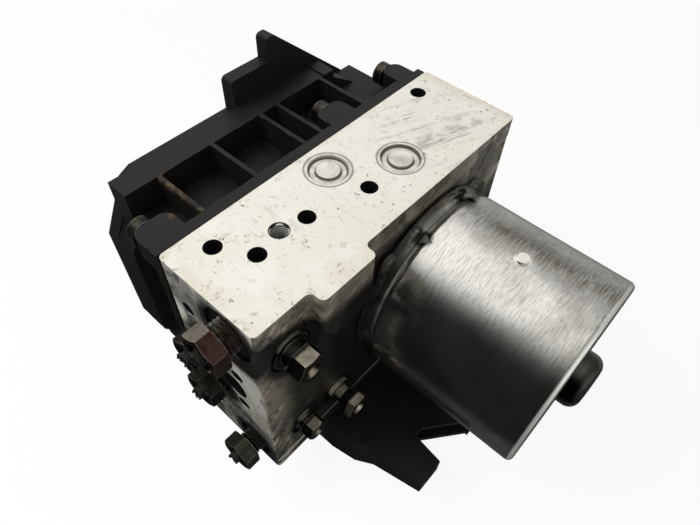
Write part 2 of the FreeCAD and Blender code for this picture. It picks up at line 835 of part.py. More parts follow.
def brush_holder():
    """The moulded plate behind the end plate, with a guide box for each brush."""
    start, end = plate_y, plate_y - brush_plate
    middle = -(commutator_start_w + 0.45 * commutator_length)
    plate = ring("y", (pump_x, pump_z), commutator_r + 2.5, brush_plate_r, end, start)
    boxes, slots = [], []
    half, wall = brush_size / 2, 1.2
    for side in (1, -1):
        near, far = commutator_r + 2.5, commutator_r + 2.5 + brush_length + 6
        low, high = sorted((pump_x + side * near, pump_x + side * far))
        boxes.append(box(low, high, middle - half - wall, start, pump_z - half - wall, pump_z + half + wall))
        low, high = sorted((pump_x + side * (near - 1), pump_x + side * (far - wall)))
        slots.append(box(low, high, middle - half - 0.05, middle + half + 0.05,
                         pump_z - half - 0.05, pump_z + half + 0.05))
    holder = fused([plate] + boxes)
    slots.append(rod("y", (contact_x, pump_z), contact_bore_r, start + 1, end - 1))
    return holder.cut(slots)


def motor_brushes():
    middle = -(commutator_start_w + 0.45 * commutator_length)
    half = brush_size / 2
    brushes = []
    for side in (1, -1):
        near = commutator_r - 0.4
        low, high = sorted((pump_x + side * near, pump_x + side * (near + brush_length)))
        block = box(low, high, middle - half, middle + half, pump_z - half, pump_z + half)
        face = rod("y", (pump_x, pump_z), commutator_r + run_gap, middle - 10, middle + 10)
        brushes.append(block.cut(face))
    return group(brushes)


def brush_springs():
    """A short compression spring between each brush and the closed end of its guide."""
    middle = -(commutator_start_w + 0.45 * commutator_length)
    springs = []
    for side in (1, -1):
        start = commutator_r - 0.4 + brush_length
        end = commutator_r + 2.5 + brush_length + 6 - 1.2
        spring = coil_spring((0, 0), start, end, brush_coil_r, 0.4, 2.5)
        spring.rotate(Vector(0, 0, 0), Vector(0, 1, 0), 90 * side)
        spring.translate(Vector(pump_x, middle, pump_z))
        springs.append(spring)
    return group(springs)


def front_bearing_outer():
    start, end = bearing_y - 0.6, bearing_y - 0.6 - bearing_width
    middle = (start + end) / 2
    inner = bearing_r - bearing_race
    outline = [(inner, end), (bearing_r, end), (bearing_r, start), (inner, start), (inner, middle + 1.2),
               (inner + 0.5, middle + 0.6), (inner + 0.5, middle - 0.6), (inner, middle - 1.2)]
    return turned("y", (pump_x, pump_z), outline)


def front_bearing_inner():
    start, end = bearing_y - 0.6, bearing_y - 0.6 - bearing_width
    outer = shaft_r + bearing_race
    return ring("y", (pump_x, pump_z), shaft_r, outer, end, start)


def front_bearing_balls():
    middle = bearing_y - 0.6 - bearing_width / 2
    race_mid = (shaft_r + bearing_race + bearing_r - bearing_race + 0.5) / 2
    radius = race_mid - shaft_r - bearing_race - run_gap
    balls = []
    for k in range(8):
        angle = 2 * math.pi * k / 8
        centre = Vector(pump_x + race_mid * math.cos(angle), middle, pump_z + race_mid * math.sin(angle))
        balls.append(Part.makeSphere(radius, centre))
    return group(balls)


def rear_bush():
    floor = can_y - boss_height + can_wall
    return ring("y", (pump_x, pump_z), shaft_r + run_gap, rear_bush_r, floor, floor + rear_bush_length)


def motor_screws():
    screws = []
    tip = plate_y + body_gap
    for at in motor_screw_places():
        screws.append(fused([rod("y", at, motor_screw_head_r, -motor_screw_head, 0),
                             rod("y", at, motor_screw_r, -motor_screw_head, seal_y),
                             rod("y", at, motor_screw_r - 0.3, seal_y, tip)])
                      .cut(hexagon("y", at, 3.6, -2.4, 1)))
    return group(screws)


def motor_contact():
    """The plug rod that feeds the motor through the block from the circuit board."""
    start, end = partition_w + partition + board, plate_y - brush_plate
    rod_piece = rod("y", (contact_x, pump_z), contact_r, end, start)
    sleeve = ring("y", (contact_x, pump_z), contact_r, contact_bore_r, -block_depth, 0)
    return fused([rod_piece, sleeve])


# Control unit

def unit_lug(z, x0, x1):
    """A screw lug behind the flange, its rear corners rounded."""
    side = 1 if z > pump_z else -1
    edge = -unit_top if side > 0 else -block_height
    inner = edge - side * lug_drop
    lug = box(x0, x1, unit_seal, lug_depth, min(edge, inner), max(edge, inner))
    return rounded(lug, lug_corner_r, lambda middle, along: abs(along.z) > 0.9 and middle.y > lug_depth - 0.1)


def unit_wells():
    """The open pockets along the unit's top: a front lip, ribs and a rear ledge over the box's roof."""
    top = -unit_top
    floor = -well_floor - 1
    pieces = [box(unit_near_x, unit_far_x, unit_seal, well_front_w, floor, top),
              box(unit_near_x, ledge_far_x, well_rear_w, unit_rear_w, floor, top)]
    for x in rib_places:
        pieces.append(box(x - rib_thick / 2, x + rib_thick / 2, well_front_w - 1, rib_end_w + 2, floor, top))
    return pieces


def cover_corners():
    """Corners of the rear cover's edge as (x, z, whether it is rounded)."""
    low = -block_height + cover_base_rise
    return [(cover_near_x, cover_near_top, True), (cover_cut_x - 4.4, cover_top - 2.1, False),
            (cover_cut_x, cover_top, False), (cover_step_x, cover_top, False),
            (cover_step_x, cover_step_top, True),
            (ear_x, cover_step_top, False), (ear_x, ear_top, True), (ear_end_x, ear_top, True),
            (block_length, cover_far_top, True), (block_length, -block_height + cover_far_rise, True),
            (tower_far_x + 9, low, True), (tower_far_x, low - 6, False), (tower_far_x, -tower_bottom, True),
            (arm_near_x, -tower_bottom, True), (arm_near_x - 4, low, False), (cover_cut_x, low, True),
            (cover_near_x, -block_height + cover_near_rise, True)]


def ecu_cover():
    """The rear cover: a plate with cut corners, an ear above the block and a finned field on its back."""
    corners = cover_corners()
    outline = [Vector(x, unit_rear_w, z) for x, z, soft in corners]
    plate = prism(outline, Vector(0, unit_back_w - unit_rear_w, 0))
    soft_places = [(x, z) for x, z, soft in corners if soft]

    def is_soft(middle, along):
        near = [math.hypot(middle.x - x, middle.z - z) < 0.01 for x, z in soft_places]
        return abs(along.y) > 0.9 and any(near)

    plate = rounded(plate, cover_corner_r, is_soft)
    inset = field_inset
    field = box(cover_near_x + inset, block_length - inset, unit_back_w - 1, unit_back_w + field_proud,
                -block_height + inset, cover_top - inset)
    field = rounded(field, 6.0, lambda middle, along: abs(along.y) > 0.9)
    fins = []
    x = cover_near_x + inset + fin_pitch
    while x < block_length - inset - fin_pitch:
        fins.append(box(x, x + fin_thick, unit_back_w + 1.0, unit_back_w + fin_proud,
                        -block_height + inset + 6, cover_top - inset - 6))
        x += fin_pitch
    return fused([plate, field] + fins)


def unit_wing(points):
    """A side wall of the box that widens to the cover's edge."""
    return prism([Vector(x, well_rear_w, z) for x, z in points], Vector(0, unit_rear_w - well_rear_w, 0))


def ecu_housing():
    """The moulded housing: flange, coil box with wells on top, screw lugs and the connector tower."""
    low = -block_height + cover_base_rise
    floor = -block_height + unit_floor_rise
    box_part = box(unit_near_x, unit_far_x, unit_seal, unit_rear_w, floor, -well_floor)
    flange = box(0, block_length, unit_seal, unit_seal + unit_flange, -block_height, -unit_top)
    near_wing = unit_wing([(cover_near_x, cover_near_top), (cover_cut_x, cover_top), (cover_cut_x, low),
                           (cover_near_x, -block_height + cover_near_rise)])
    far_wing = unit_wing([(ledge_far_x - 6, 0), (block_length, cover_far_top),
                          (block_length, -block_height + cover_far_rise), (ledge_far_x - 6, low)])
    lugs = [unit_lug(z, start, end) for x, z, start, end in unit_lugs]
    solids = [box_part, flange, near_wing, far_wing] + unit_wells() + lugs + [tower_body(), tower_arm()]
    return fused(solids).cut(housing_cuts())


def tower_body():
    """The connector tower under the block, its mouth cut back obliquely beside the arm."""
    top = -tower_top
    outline = [Vector(tower_near_x, unit_rear_w, top), Vector(tower_near_x, -tower_notch_w, top),
               Vector(tower_notch_x, -tower_notch_w, top), Vector(tower_slant_x, -tower_slant_w, top),
               Vector(tower_slant_x, -tower_mouth_w, top), Vector(tower_far_x, -tower_mouth_w, top),
               Vector(tower_far_x, unit_rear_w, top)]
    tower = prism(outline, Vector(0, 0, -tower_height))
    root_top = -block_height + unit_floor_rise + 2
    root = box(arm_near_x, tower_far_x, unit_seal, unit_rear_w, -tower_bottom, root_top)
    return fused([tower, root])


def tower_arm():
    """The guide arm beside the connector's mouth: full at its root, tapering to the slotted tip."""
    def section(w, x0, x1, top, bottom):
        corners = [Vector(x0, -w, -top), Vector(x1, -w, -top),
                   Vector(x1, -w, -bottom), Vector(x0, -w, -bottom)]
        return Part.makePolygon(corners + corners[:1])
    far = tower_near_x + 0.5
    reach = arm_tip_w - arm_bend_w

    def taper(w, start, end):
        return start + (end - start) * (w - arm_bend_w) / reach

    tip = arm_tip_bottom
    waist = arm_bottom - 2.5
    sections = [section(-unit_rear_w, arm_near_x, far, tower_top, arm_bottom),
                section(arm_root_w, arm_near_x, far, tower_top, arm_bottom),
                section(arm_bend_w, arm_near_x + 1.3, far, tower_top, waist),
                section(arm_taper_w, taper(arm_taper_w, arm_near_x + 2.6, arm_tip_near_x), far,
                        taper(arm_taper_w, tower_top, arm_tip_top), taper(arm_taper_w, waist - 4.0, tip)),
                section(tower_notch_w, taper(tower_notch_w, arm_near_x + 2.6, arm_tip_near_x), far,
                        taper(tower_notch_w, tower_top, arm_tip_top), taper(tower_notch_w, waist - 4.0, tip)),
                section(arm_tip_w, arm_tip_near_x, arm_tip_far_x, arm_tip_top, tip)]
    return Part.makeLoft(sections, True, True)


def housing_cuts():
    wall = unit_wall
    low, high = -block_height + unit_floor_rise + wall, -well_floor - wall
    coil_room = box(unit_near_x + wall, unit_far_x - wall, 0, partition_w, low, high)
    shelf = partition_w + partition
    board_room = box(unit_near_x + wall, unit_far_x - wall, shelf, unit_rear_w + 1, low, high)
    t = tower_wall
    channel = box(tower_near_x + t, tower_far_x - t, -tower_mouth_w - 1, unit_rear_w + 1,
                  -tower_bottom + t, -tower_top - t)
    link = box(tower_near_x + t, tower_far_x - t, shelf, unit_rear_w + 1, -tower_bottom + t, low + 1)
    slot_top = -arm_tip_top - arm_slot_drop
    slot = box(arm_slot_x, arm_slot_x + arm_slot_width, -arm_tip_w - 1, -arm_tip_w + arm_slot_depth,
               slot_top - arm_slot_height, slot_top)
    cuts = [coil_room, board_room, channel, link, slot]
    for x, z, start, end in unit_lugs:
        cuts.append(rod("y", (x, z), unit_screw_r + body_gap, -1, lug_depth + 1))
        cuts.append(rod("y", (x, z), unit_screw_head_r + body_gap, lug_depth,
                        lug_depth + unit_screw_head + 3))
    cuts.append(rod("y", (contact_x, pump_z), contact_r + body_gap, partition_w - 1, shelf + 1))
    return cuts


def ecu_seal():
    """The flat seal between the housing's flange and the block."""
    outer = box(1.0, block_length - 1.0, 0, unit_seal, -block_height + 1.0, -unit_top - 1.0)
    wall = unit_wall
    inner = box(unit_near_x + wall, unit_far_x - wall, -1, 2, -block_height + unit_floor_rise + wall,
                -well_floor - wall)
    holes = [rod("y", (x, z), unit_screw_r + body_gap, -1, 2) for x, z, start, end in unit_lugs]
    return outer.cut([inner] + holes)


def ecu_screws():
    screws = []
    for x, z, start, end in unit_lugs:
        screw = fused([rod("y", (x, z), unit_screw_r, -unit_screw_grip, lug_depth),
                       rod("y", (x, z), unit_screw_head_r, lug_depth, lug_depth + unit_screw_head)])
        screws.append(screw.cut(hexagon("y", (x, z), 4.6, lug_depth + 1.4, lug_depth + unit_screw_head + 1)))
    return group(screws)


def circuit_board():
    wall = unit_wall
    start = partition_w + partition
    main = box(unit_near_x + wall, unit_far_x - wall, start, start + board,
               -block_height + unit_floor_rise + wall, -well_floor - wall)
    t = tower_wall
    tail = box(tower_near_x + t, tower_far_x - t, start, start + board, -tower_bottom + t,
               -block_height + unit_floor_rise + wall + 1)
    half = pin_size / 2
    holes = [box(x - half, x + half, start - 1, start + board + 1, z - half, z + half)
             for x, z in pin_places()]
    holes.append(rod("y", (contact_x, pump_z), contact_r + body_gap, start - 1, start + board + 1))
    return fused([main, tail]).cut(holes)


def board_components():
    """The processor, power switches and capacitors on the board's rear side."""
    y = partition_w + partition + board
    return group([box(x - length / 2, x + length / 2, y, y + thick, -h - height / 2, -h + height / 2)
                  for x, h, length, height, thick in board_parts])


def pin_places():
    middle = (tower_near_x + tower_far_x) / 2
    height = -(tower_top + tower_bottom) / 2
    columns = [middle + (i - (pin_columns - 1) / 2) * pin_pitch for i in range(pin_columns)]
    rows = [height + (j - (pin_rows - 1) / 2) * pin_row_pitch for j in range(pin_rows)]
    return [(x, z) for z in rows for x in columns]


def pin_carrier_block():
    t = tower_wall
    carrier = box(tower_near_x + t, tower_far_x - t, -pin_carrier_w, -pin_carrier_w + pin_carrier,
                  -tower_bottom + t, -tower_top - t)
    holes = [box(x - pin_size / 2, x + pin_size / 2, -pin_carrier_w - 1, -pin_carrier_w + pin_carrier + 1,
                 z - pin_size / 2, z + pin_size / 2) for x, z in pin_places()]
    return carrier.cut(holes)


def connector_pins():
    return group([box(x - pin_size / 2, x + pin_size / 2, -pin_reach_w, partition_w + partition + board,
                      z - pin_size / 2, z + pin_size / 2) for x, z in pin_places()])


# Fittings

def threaded_side(radius, start, end):
    """The wavy edge of a thread between two places along its axis, as (radius, place) points."""
    count = int(abs(end - start) / thread_pitch)
    step = (end - start) / max(count, 1)
    points = []
    for k in range(count):
        points += [(radius - thread_height, start + step * (k + 0.5)), (radius, start + step * (k + 1))]
    return points


def tube_nut(at, af, thread_r, neck):
    """A hexagon nut of the near end: shank, a few bare turns of thread, hexagon and a hollow mouth."""
    w, h = at
    start = port_depth - 1.0
    hex_start, hex_end = -neck, -(neck + nut_height)
    bare = spotface_depth
    outline = [(0, start), (thread_r - 0.8, start), (thread_r, start - 0.8), (thread_r, bare)]
    outline += threaded_side(thread_r, bare, hex_start) + [(0, hex_start)]
    shank = turned("x", (-w, -h), outline)
    nut = hexagon("x", (-w, -h), af, hex_start, hex_end)
    half = af / 2
    cone = turned("x", (-w, -h), [(0, hex_start), (half + 0.7, hex_start), (half + 1.4, hex_start - 0.6),
                                  (half + 1.4, hex_end + 0.6), (half - 0.1, hex_end), (0, hex_end)])
    mouth_r = half - nut_rim
    recess_end = hex_end + nut_recess
    bore = turned("x", (-w, -h), [(0, hex_end - 1), (mouth_r, hex_end - 1), (mouth_r, recess_end - 1.2),
                                  (tube_r, recess_end), (tube_r, start + 1), (0, start + 1)])
    return fused([shank, nut.common(cone)]).cut(bore)


def nut_places():
    """Port, size across flats, thread radius and bare thread of every tube nut, the large one first."""
    return [(inlet_port, inlet_nut_af, inlet_thread_r, inlet_neck),
            (upper_port, small_nut_af, port_thread_r, small_neck),
            (middle_port, small_nut_af, port_thread_r, small_neck),
            (lower_port, small_nut_af, port_thread_r, lower_neck)]


def inlet_tube_nut():
    return tube_nut(*nut_places()[0])


def small_tube_nuts():
    return group([tube_nut(*place_of_nut) for place_of_nut in nut_places()[1:]])


def pipe_stubs():
    """The cut ends of the brake pipes, still clamped in their nuts."""
    stubs = []
    for (w, h), af, thread_r, neck in nut_places():
        end = -(neck + nut_height + tube_stub)
        stubs.append(ring("x", (-w, -h), tube_bore_r, tube_r, end, port_depth - 2.0))
    return group(stubs)


def solid_plug(at, af, thread_r, collar_r, collar, neck, height):
    """A hexagon plug of the motor face: thread, collar, neck, hexagon and a dished end."""
    x, h = at
    face = face_y + spotface_depth
    depth = motor_side_depth - spotface_depth - 1.0
    hex_start = face - collar - neck
    hex_end = hex_start - height
    outline = [(0, face + depth), (thread_r - 0.7, face + depth), (thread_r, face + depth - 0.7),
               (thread_r, face), (collar_r, face), (collar_r, face - collar), (thread_r - 0.4, face - collar),
               (thread_r - 0.4, hex_start), (0, hex_start)]
    body = turned("y", (x, -h), outline)
    nut = hexagon("y", (x, -h), af, hex_start, hex_end)
    cone = turned("y", (x, -h), [(0, hex_start), (af * 0.5 + 1.4, hex_start), (af * 0.5 + 1.4, hex_end + 0.7),
                                 (af * 0.5 - 0.2, hex_end), (0, hex_end)])
    dish = turned("y", (x, -h), [(0, hex_end - 1), (af * 0.3, hex_end - 1), (af * 0.3, hex_end),
                                 (af * 0.2, hex_end + 1.6), (0, hex_end + 1.6)])
    return fused([body, nut.common(cone)]).cut(dish)


def sealing_balls():
    """Steel balls pressed into the far end's drillings to close them."""
    return group([Part.makeSphere(far_ball_r, Vector(block_length - far_ball_inset, -w, -h))
                  for w, h in far_drillings])


def far_end_cuts():
    return [rod("x", (-w, -h), far_ball_r, block_length - far_drill_depth, block_length + 1)
            for w, h in far_drillings]


def build_block():
    export("hydraulic_block", hydraulic_block().cut(far_end_cuts()))
    export("sealing_balls", sealing_balls())
    export("pump_covers", group([pressed_cover((pump_x, pump_y), 0, 1, pump_cover_depth),
                                 pressed_cover((pump_x, pump_y), -block_height, -1, pump_cover_depth)]))
    for name, side in (("top", 1), ("bottom", -1)):
        face = 0 if side > 0 else -block_height
        export("pump_liner_" + name, pump_liner(side))
        export("pump_piston_" + name, pump_piston(side))
        export("pump_spring_" + name, pump_spring(side))
        export("accumulator_cover_" + name, pressed_cover((store_x, -store_w), face, side, store_cover_depth))
        export("accumulator_piston_" + name, store_piston(side))
        export("accumulator_seal_" + name, store_seal(side))
        export("accumulator_spring_" + name, store_spring(side))


def build_valves():
    places = valve_places()
    export("valve_bodies", group([valve_body(at) for at in places]))
    for row, (name, opened) in enumerate((("inlet", valve_lift), ("outlet", 0.0))):
        for k in range(4):
            export(name + "_plunger_" + str(k + 1), valve_plunger(places[4 * row + k], opened))
    export("valve_disc_springs", group([valve_disc_spring(at) for at in places]))
    export("solenoid_coils", group([solenoid_coil(at) for at in places]))


def build_motor():
    export("motor_can", fused([motor_can(), rivet()]))
    gasket = ring("y", (pump_x, pump_z), motor_seal_inner_r, motor_seal_r, seal_y, face_y)
    screw_holes = [rod("y", at, motor_screw_r + body_gap, seal_y - 1, face_y + 1)
                   for at in motor_screw_places()]
    export("motor_seal", gasket.cut(screw_holes))
    export("motor_end_plate", motor_end_plate())
    export("motor_magnets", motor_magnets())
    export("brush_holder", brush_holder())
    export("motor_brushes", motor_brushes())
    export("brush_springs", brush_springs())
    export("armature_shaft", armature_shaft())
    export("armature_core", armature_core())
    export("armature_windings", armature_windings())
    export("commutator", commutator())
    export("front_bearing_outer", front_bearing_outer())
    export("front_bearing_inner", front_bearing_inner())
    export("front_bearing_balls", front_bearing_balls())
    export("rear_bush", rear_bush())
    export("eccentric_race", ring("y", (pump_x + eccentricity, pump_z), eccentric_r + run_gap, race_outer_r,
                                  pump_y - race_width / 2, pump_y + race_width / 2))
    export("motor_screws", motor_screws())
    export("motor_contact", motor_contact())


def build_unit():
    export("ecu_housing", ecu_housing())
    export("ecu_cover", ecu_cover())
    export("ecu_seal", ecu_seal())
    export("ecu_screws", ecu_screws())
    export("circuit_board", circuit_board())
    export("board_components", board_components())
    export("pin_carrier", pin_carrier_block())
    export("connector_pins", connector_pins())


def build_fittings():
    export("inlet_tube_nut", inlet_tube_nut())
    export("small_tube_nuts", small_tube_nuts())
    export("pipe_stubs", pipe_stubs())
    export("flanged_plug", solid_plug(flanged_plug_at, flanged_plug_af, plug_thread_r, 7.0, 1.6, 3.6, 6.0))
    export("bleed_plug", solid_plug(bleed_plug_at, bleed_plug_af, bleed_thread_r, 4.4, 1.2, 2.2, 5.2))
    export("tall_plug", solid_plug(tall_plug_at, tall_plug_af, tall_thread_r, 5.8, 3.2, 5.8, 4.6))


os.makedirs("parts", exist_ok=True)
build_block()
build_valves()
build_motor()
build_unit()
build_fittings()
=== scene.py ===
import bpy
import json
import math
from mathutils import Matrix, Vector, noise


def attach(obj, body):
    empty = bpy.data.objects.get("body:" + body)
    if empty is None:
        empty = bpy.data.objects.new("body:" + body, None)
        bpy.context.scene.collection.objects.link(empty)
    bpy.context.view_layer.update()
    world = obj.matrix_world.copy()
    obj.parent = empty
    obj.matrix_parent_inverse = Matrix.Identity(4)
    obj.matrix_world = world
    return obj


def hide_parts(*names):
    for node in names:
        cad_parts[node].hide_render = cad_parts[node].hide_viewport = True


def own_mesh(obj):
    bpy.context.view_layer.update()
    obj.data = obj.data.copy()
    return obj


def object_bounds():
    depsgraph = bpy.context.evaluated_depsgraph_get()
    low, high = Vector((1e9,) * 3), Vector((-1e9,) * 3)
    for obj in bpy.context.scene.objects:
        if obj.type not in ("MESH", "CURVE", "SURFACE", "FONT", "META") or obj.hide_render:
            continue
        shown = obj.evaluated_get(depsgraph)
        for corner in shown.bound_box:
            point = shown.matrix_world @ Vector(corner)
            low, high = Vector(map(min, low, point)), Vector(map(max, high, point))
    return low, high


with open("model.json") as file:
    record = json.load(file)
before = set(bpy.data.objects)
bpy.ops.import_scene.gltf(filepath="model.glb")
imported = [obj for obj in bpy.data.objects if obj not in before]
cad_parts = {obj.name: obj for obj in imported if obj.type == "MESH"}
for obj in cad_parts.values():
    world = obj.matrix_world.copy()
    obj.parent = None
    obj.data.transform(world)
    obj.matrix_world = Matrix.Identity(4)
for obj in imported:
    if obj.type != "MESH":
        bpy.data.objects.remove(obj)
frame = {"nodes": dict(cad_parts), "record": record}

cad_low, cad_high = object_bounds()
MM = 0.001
NODES = frame["nodes"]
SLOTS = {part["node"]: part["material_slot"] for part in frame["record"]["subparts"]}

# Places in the shared frame: the block's near top corner on the control unit's side, and the motor's axis
CORNER = Vector((-31.5, 18.6, 1.04)) * MM
MOTOR_X = 83.0
MOTOR_AXIS = CORNER + Vector((MOTOR_X, 0.0, -49.4)) * MM
MOTOR_RADIUS = 38.0 * MM


def at(x, w, h):
    """A place in mm, as on a drawing: along the block, out from the unit's face, down from the top."""
    return CORNER + Vector((x, -w, -h)) * MM


# Places on the block, in mm along it and out from the unit's face
PUMP_COVER = (MOTOR_X, 24.9)
ACCUMULATOR_COVER = (61.6, 10.8)

# Pipe ports on the near end: out from the unit's face, down from the top, and how far the nut stands out
PIPE_PORTS = ((28.5, 12.0, 4.4), (13.8, 32.6, 2.2), (13.6, 57.8, 2.2), (29.3, 88.5, 4.2))

# Where oil has run, with the nuts' painted shadows round the near end's ports: a place and a radius in
# metres, at the near end and on the motor's side
PORT_OIL_AND_SHADOW = [(at(0, 30.0, 15.0), 0.0180), (at(0, 14.5, 34.5), 0.0138), (at(0, 14.5, 59.5), 0.0132),
           (at(0, 30.0, 89.5), 0.0150)]
OIL_SIDE = [(at(14.5, 41, 24.0), 0.0155), (at(17.0, 41, 80), 0.0120), (at(34, 41, 80.5), 0.0130)]

# Colours that more than one finish wears
OIL_BLACK = (0.022, 0.020, 0.016)
NECK_BLACK = (0.013, 0.012, 0.010)


# Node helpers

def link(tree, source, target):
    tree.links.new(source, target)


def feed(tree, socket, value):
    """Links a socket to another one, or sets it to a value; a colour may leave out its alpha."""
    if isinstance(value, bpy.types.NodeSocket):
        link(tree, value, socket)
    elif socket.type == "RGBA":
        socket.default_value = (*value[:3], 1.0)
    else:
        socket.default_value = value


def add(tree, kind, inputs=None, **settings):
    """A new node with its settings made and its inputs fed."""
    made = tree.nodes.new(kind)
    for name, value in settings.items():
        setattr(made, name, value)
    for name, value in (inputs or {}).items():
        feed(tree, made.inputs[name], value)
    return made


def math_node(tree, operation, a, b=0.0):
    return add(tree, "ShaderNodeMath", {0: a, 1: b}, operation=operation).outputs[0]


def vector_node(tree, operation, a, b, output="Vector"):
    return add(tree, "ShaderNodeVectorMath", {0: a, 1: b}, operation=operation).outputs[output]


def parts_of(tree, vector):
    return add(tree, "ShaderNodeSeparateXYZ", {0: vector}).outputs


def turned(tree, where, axis, angle):
    return add(tree, "ShaderNodeVectorRotate", {"Vector": where, "Angle": angle},
               rotation_type=axis + "_AXIS").outputs["Vector"]


def noise_node(tree, where, scale, detail, roughness, distortion=0.0):
    return add(tree, "ShaderNodeTexNoise", {"Vector": where, "Scale": scale, "Detail": detail,
                                            "Roughness": roughness,
                                            "Distortion": distortion}).outputs["Fac"]


def ramp(tree, value, low, high, out_low=0.0, out_high=1.0):
    """A value's smooth step between two limits."""
    return add(tree, "ShaderNodeMapRange", {"Value": value, "From Min": low, "From Max": high,
                                            "To Min": out_low, "To Max": out_high},
               interpolation_type="SMOOTHSTEP", clamp=True).outputs["Result"]


def cover_share(tree, field, share, fade):
    """Ones over a share of the surface, where the field is highest, fading in over a step."""
    start = math_node(tree, "SUBTRACT", 1.0, share)
    return ramp(tree, field, start, math_node(tree, "ADD", start, fade))


def mix_colours(tree, factor, first, second):
    return add(tree, "ShaderNodeMix", {0: factor, 6: first, 7: second}, data_type="RGBA",
               clamp_factor=True).outputs[2]


def mix_values(tree, factor, first, second):
    return add(tree, "ShaderNodeMix", {0: factor, 2: first, 3: second}, data_type="FLOAT",
               clamp_factor=True).outputs[0]


def new_group(name, inputs, outputs=("Mask",)):
    """An empty shared effect: its inputs come with their usual values, and it puts out numbers."""
    group = bpy.data.node_groups.new(name, "ShaderNodeTree")
    for label, usual in inputs.items():
        kind = "NodeSocketVector" if isinstance(usual, tuple) else "NodeSocketFloat"
        socket = group.interface.new_socket(label, in_out="INPUT", socket_type=kind)
        socket.default_value = usual
    for label in outputs:
        group.interface.new_socket(label, in_out="OUTPUT", socket_type="NodeSocketFloat")
    source = group.nodes.new("NodeGroupInput")
    target = group.nodes.new("NodeGroupOutput")
    return group, source.outputs, target.inputs


def use(tree, group, **inputs):
    """A shared effect placed in a material with its own values."""
    node = tree.nodes.new("ShaderNodeGroup")
    node.node_tree = group
    for name, value in inputs.items():
        feed(tree, node.inputs[name], value)
    return node.outputs


# Shared effects

ORIGIN = (0.0, 0.0, 0.0)


def make_cloud_group():
    """Patchy stains: a soft or hard-edged noise mask."""
    group, source, target = new_group("stain patches", {"Vector": ORIGIN, "Scale": 60.0, "Cover": 0.5,
                                                        "Softness": 0.15})
    cloud = noise_node(group, source["Vector"], source["Scale"], 6.0, 0.62, 0.4)
    middle = math_node(group, "SUBTRACT", 1.0, source["Cover"])
    low = math_node(group, "SUBTRACT", middle, source["Softness"])
    high = math_node(group, "ADD", middle, source["Softness"])
    link(group, ramp(group, cloud, low, high), target["Mask"])
    return group


def make_lines_group():
    """Fine parallel lines: noise pulled out along one direction, with broken strength."""
    group, source, target = new_group("drawn lines", {"Vector": ORIGIN, "Stretch": (1.0, 1.0, 1.0),
                                                      "Scale": 900.0, "Cover": 0.5}, ("Lines", "Mask"))
    pulled = vector_node(group, "MULTIPLY", source["Vector"], source["Stretch"])
    fine = noise_node(group, pulled, source["Scale"], 5.0, 0.7)
    broken = noise_node(group, source["Vector"], 130.0, 3.0, 0.6)
    strength = ramp(group, broken, 0.35, 0.65)
    drawn = cover_share(group, fine, source["Cover"], 0.12)
    link(group, fine, target["Lines"])
    link(group, math_node(group, "MULTIPLY", drawn, strength), target["Mask"])
    return group


def make_speck_group():
    """Small pits and specks of dirt, scattered and of uneven size."""
    group, source, target = new_group("pits and specks", {"Vector": ORIGIN, "Scale": 500.0, "Size": 0.22,
                                                          "Cover": 0.4})
    cells = add(group, "ShaderNodeTexVoronoi", {"Vector": source["Vector"], "Scale": source["Scale"],
                                                "Randomness": 1.0}, feature="F1")
    chosen = add(group, "ShaderNodeSeparateColor", {0: cells.outputs["Color"]}).outputs[0]
    size = math_node(group, "MULTIPLY", chosen, source["Size"])
    spot = ramp(group, math_node(group, "SUBTRACT", size, cells.outputs["Distance"]), 0.0, 0.06)
    patch = noise_node(group, source["Vector"], 45.0, 3.0, 0.6)
    there = cover_share(group, patch, source["Cover"], 0.12)
    link(group, math_node(group, "MULTIPLY", spot, there), target["Mask"])
    return group


# The edge mask serves worn edges, and the painted highlights and glints that finishes lay along edges.
def make_edge_group():
    """Where an edge is: the rounded normal leaves the flat one."""
    group, source, target = new_group("worn edges", {"Radius": 0.0008, "Low": 0.02, "High": 0.25,
                                                     "Breakup": 0.5, "Vector": ORIGIN})
    bevel = add(group, "ShaderNodeBevel", {"Radius": source["Radius"]}, samples=6).outputs["Normal"]
    flat = add(group, "ShaderNodeNewGeometry").outputs["Normal"]
    turn = math_node(group, "SUBTRACT", 1.0, vector_node(group, "DOT_PRODUCT", bevel, flat, "Value"))
    edge = ramp(group, turn, source["Low"], source["High"])
    rough = noise_node(group, source["Vector"], 420.0, 4.0, 0.7)
    eaten = math_node(group, "MULTIPLY", ramp(group, rough, 0.62, 0.38), source["Breakup"])
    link(group, math_node(group, "MULTIPLY", edge, math_node(group, "SUBTRACT", 1.0, eaten)), target["Mask"])
    return group


def make_inside_group():
    """One inside a box, nothing outside it: for the walls of bores and mouths."""
    group, source, target = new_group("inside a box", {"Vector": ORIGIN, "Low": ORIGIN,
                                                       "High": (1.0, 1.0, 1.0), "Fade": 0.0008})
    below = vector_node(group, "SUBTRACT", source["Vector"], source["Low"])
    above = vector_node(group, "SUBTRACT", source["High"], source["Vector"])
    x, y, z = parts_of(group, vector_node(group, "MINIMUM", below, above))
    least = math_node(group, "MINIMUM", math_node(group, "MINIMUM", x, y), z)
    link(group, ramp(group, least, 0.0, source["Fade"]), target["Mask"])
    return group


def make_hair_group():
    """Thin single scratches: the contour of a pulled noise, kept in broken stretches."""
    group, source, target = new_group("hair scratches", {"Vector": ORIGIN, "Turn": 0.0, "Scale": 26.0,
                                                         "Width": 0.008, "Cover": 0.4})
    along = turned(group, source["Vector"], "Z", source["Turn"])
    pulled = vector_node(group, "MULTIPLY", along, (1.0, 7.0, 7.0))
    field = noise_node(group, pulled, source["Scale"], 1.5, 0.4)
    away = math_node(group, "ABSOLUTE", math_node(group, "SUBTRACT", field, 0.5))
    thin = math_node(group, "SUBTRACT", 1.0, ramp(group, away, 0.0, source["Width"]))
    broken = noise_node(group, along, 75.0, 3.0, 0.65)
    kept = cover_share(group, broken, source["Cover"], 0.05)
    link(group, math_node(group, "MULTIPLY", thin, kept), target["Mask"])
    return group


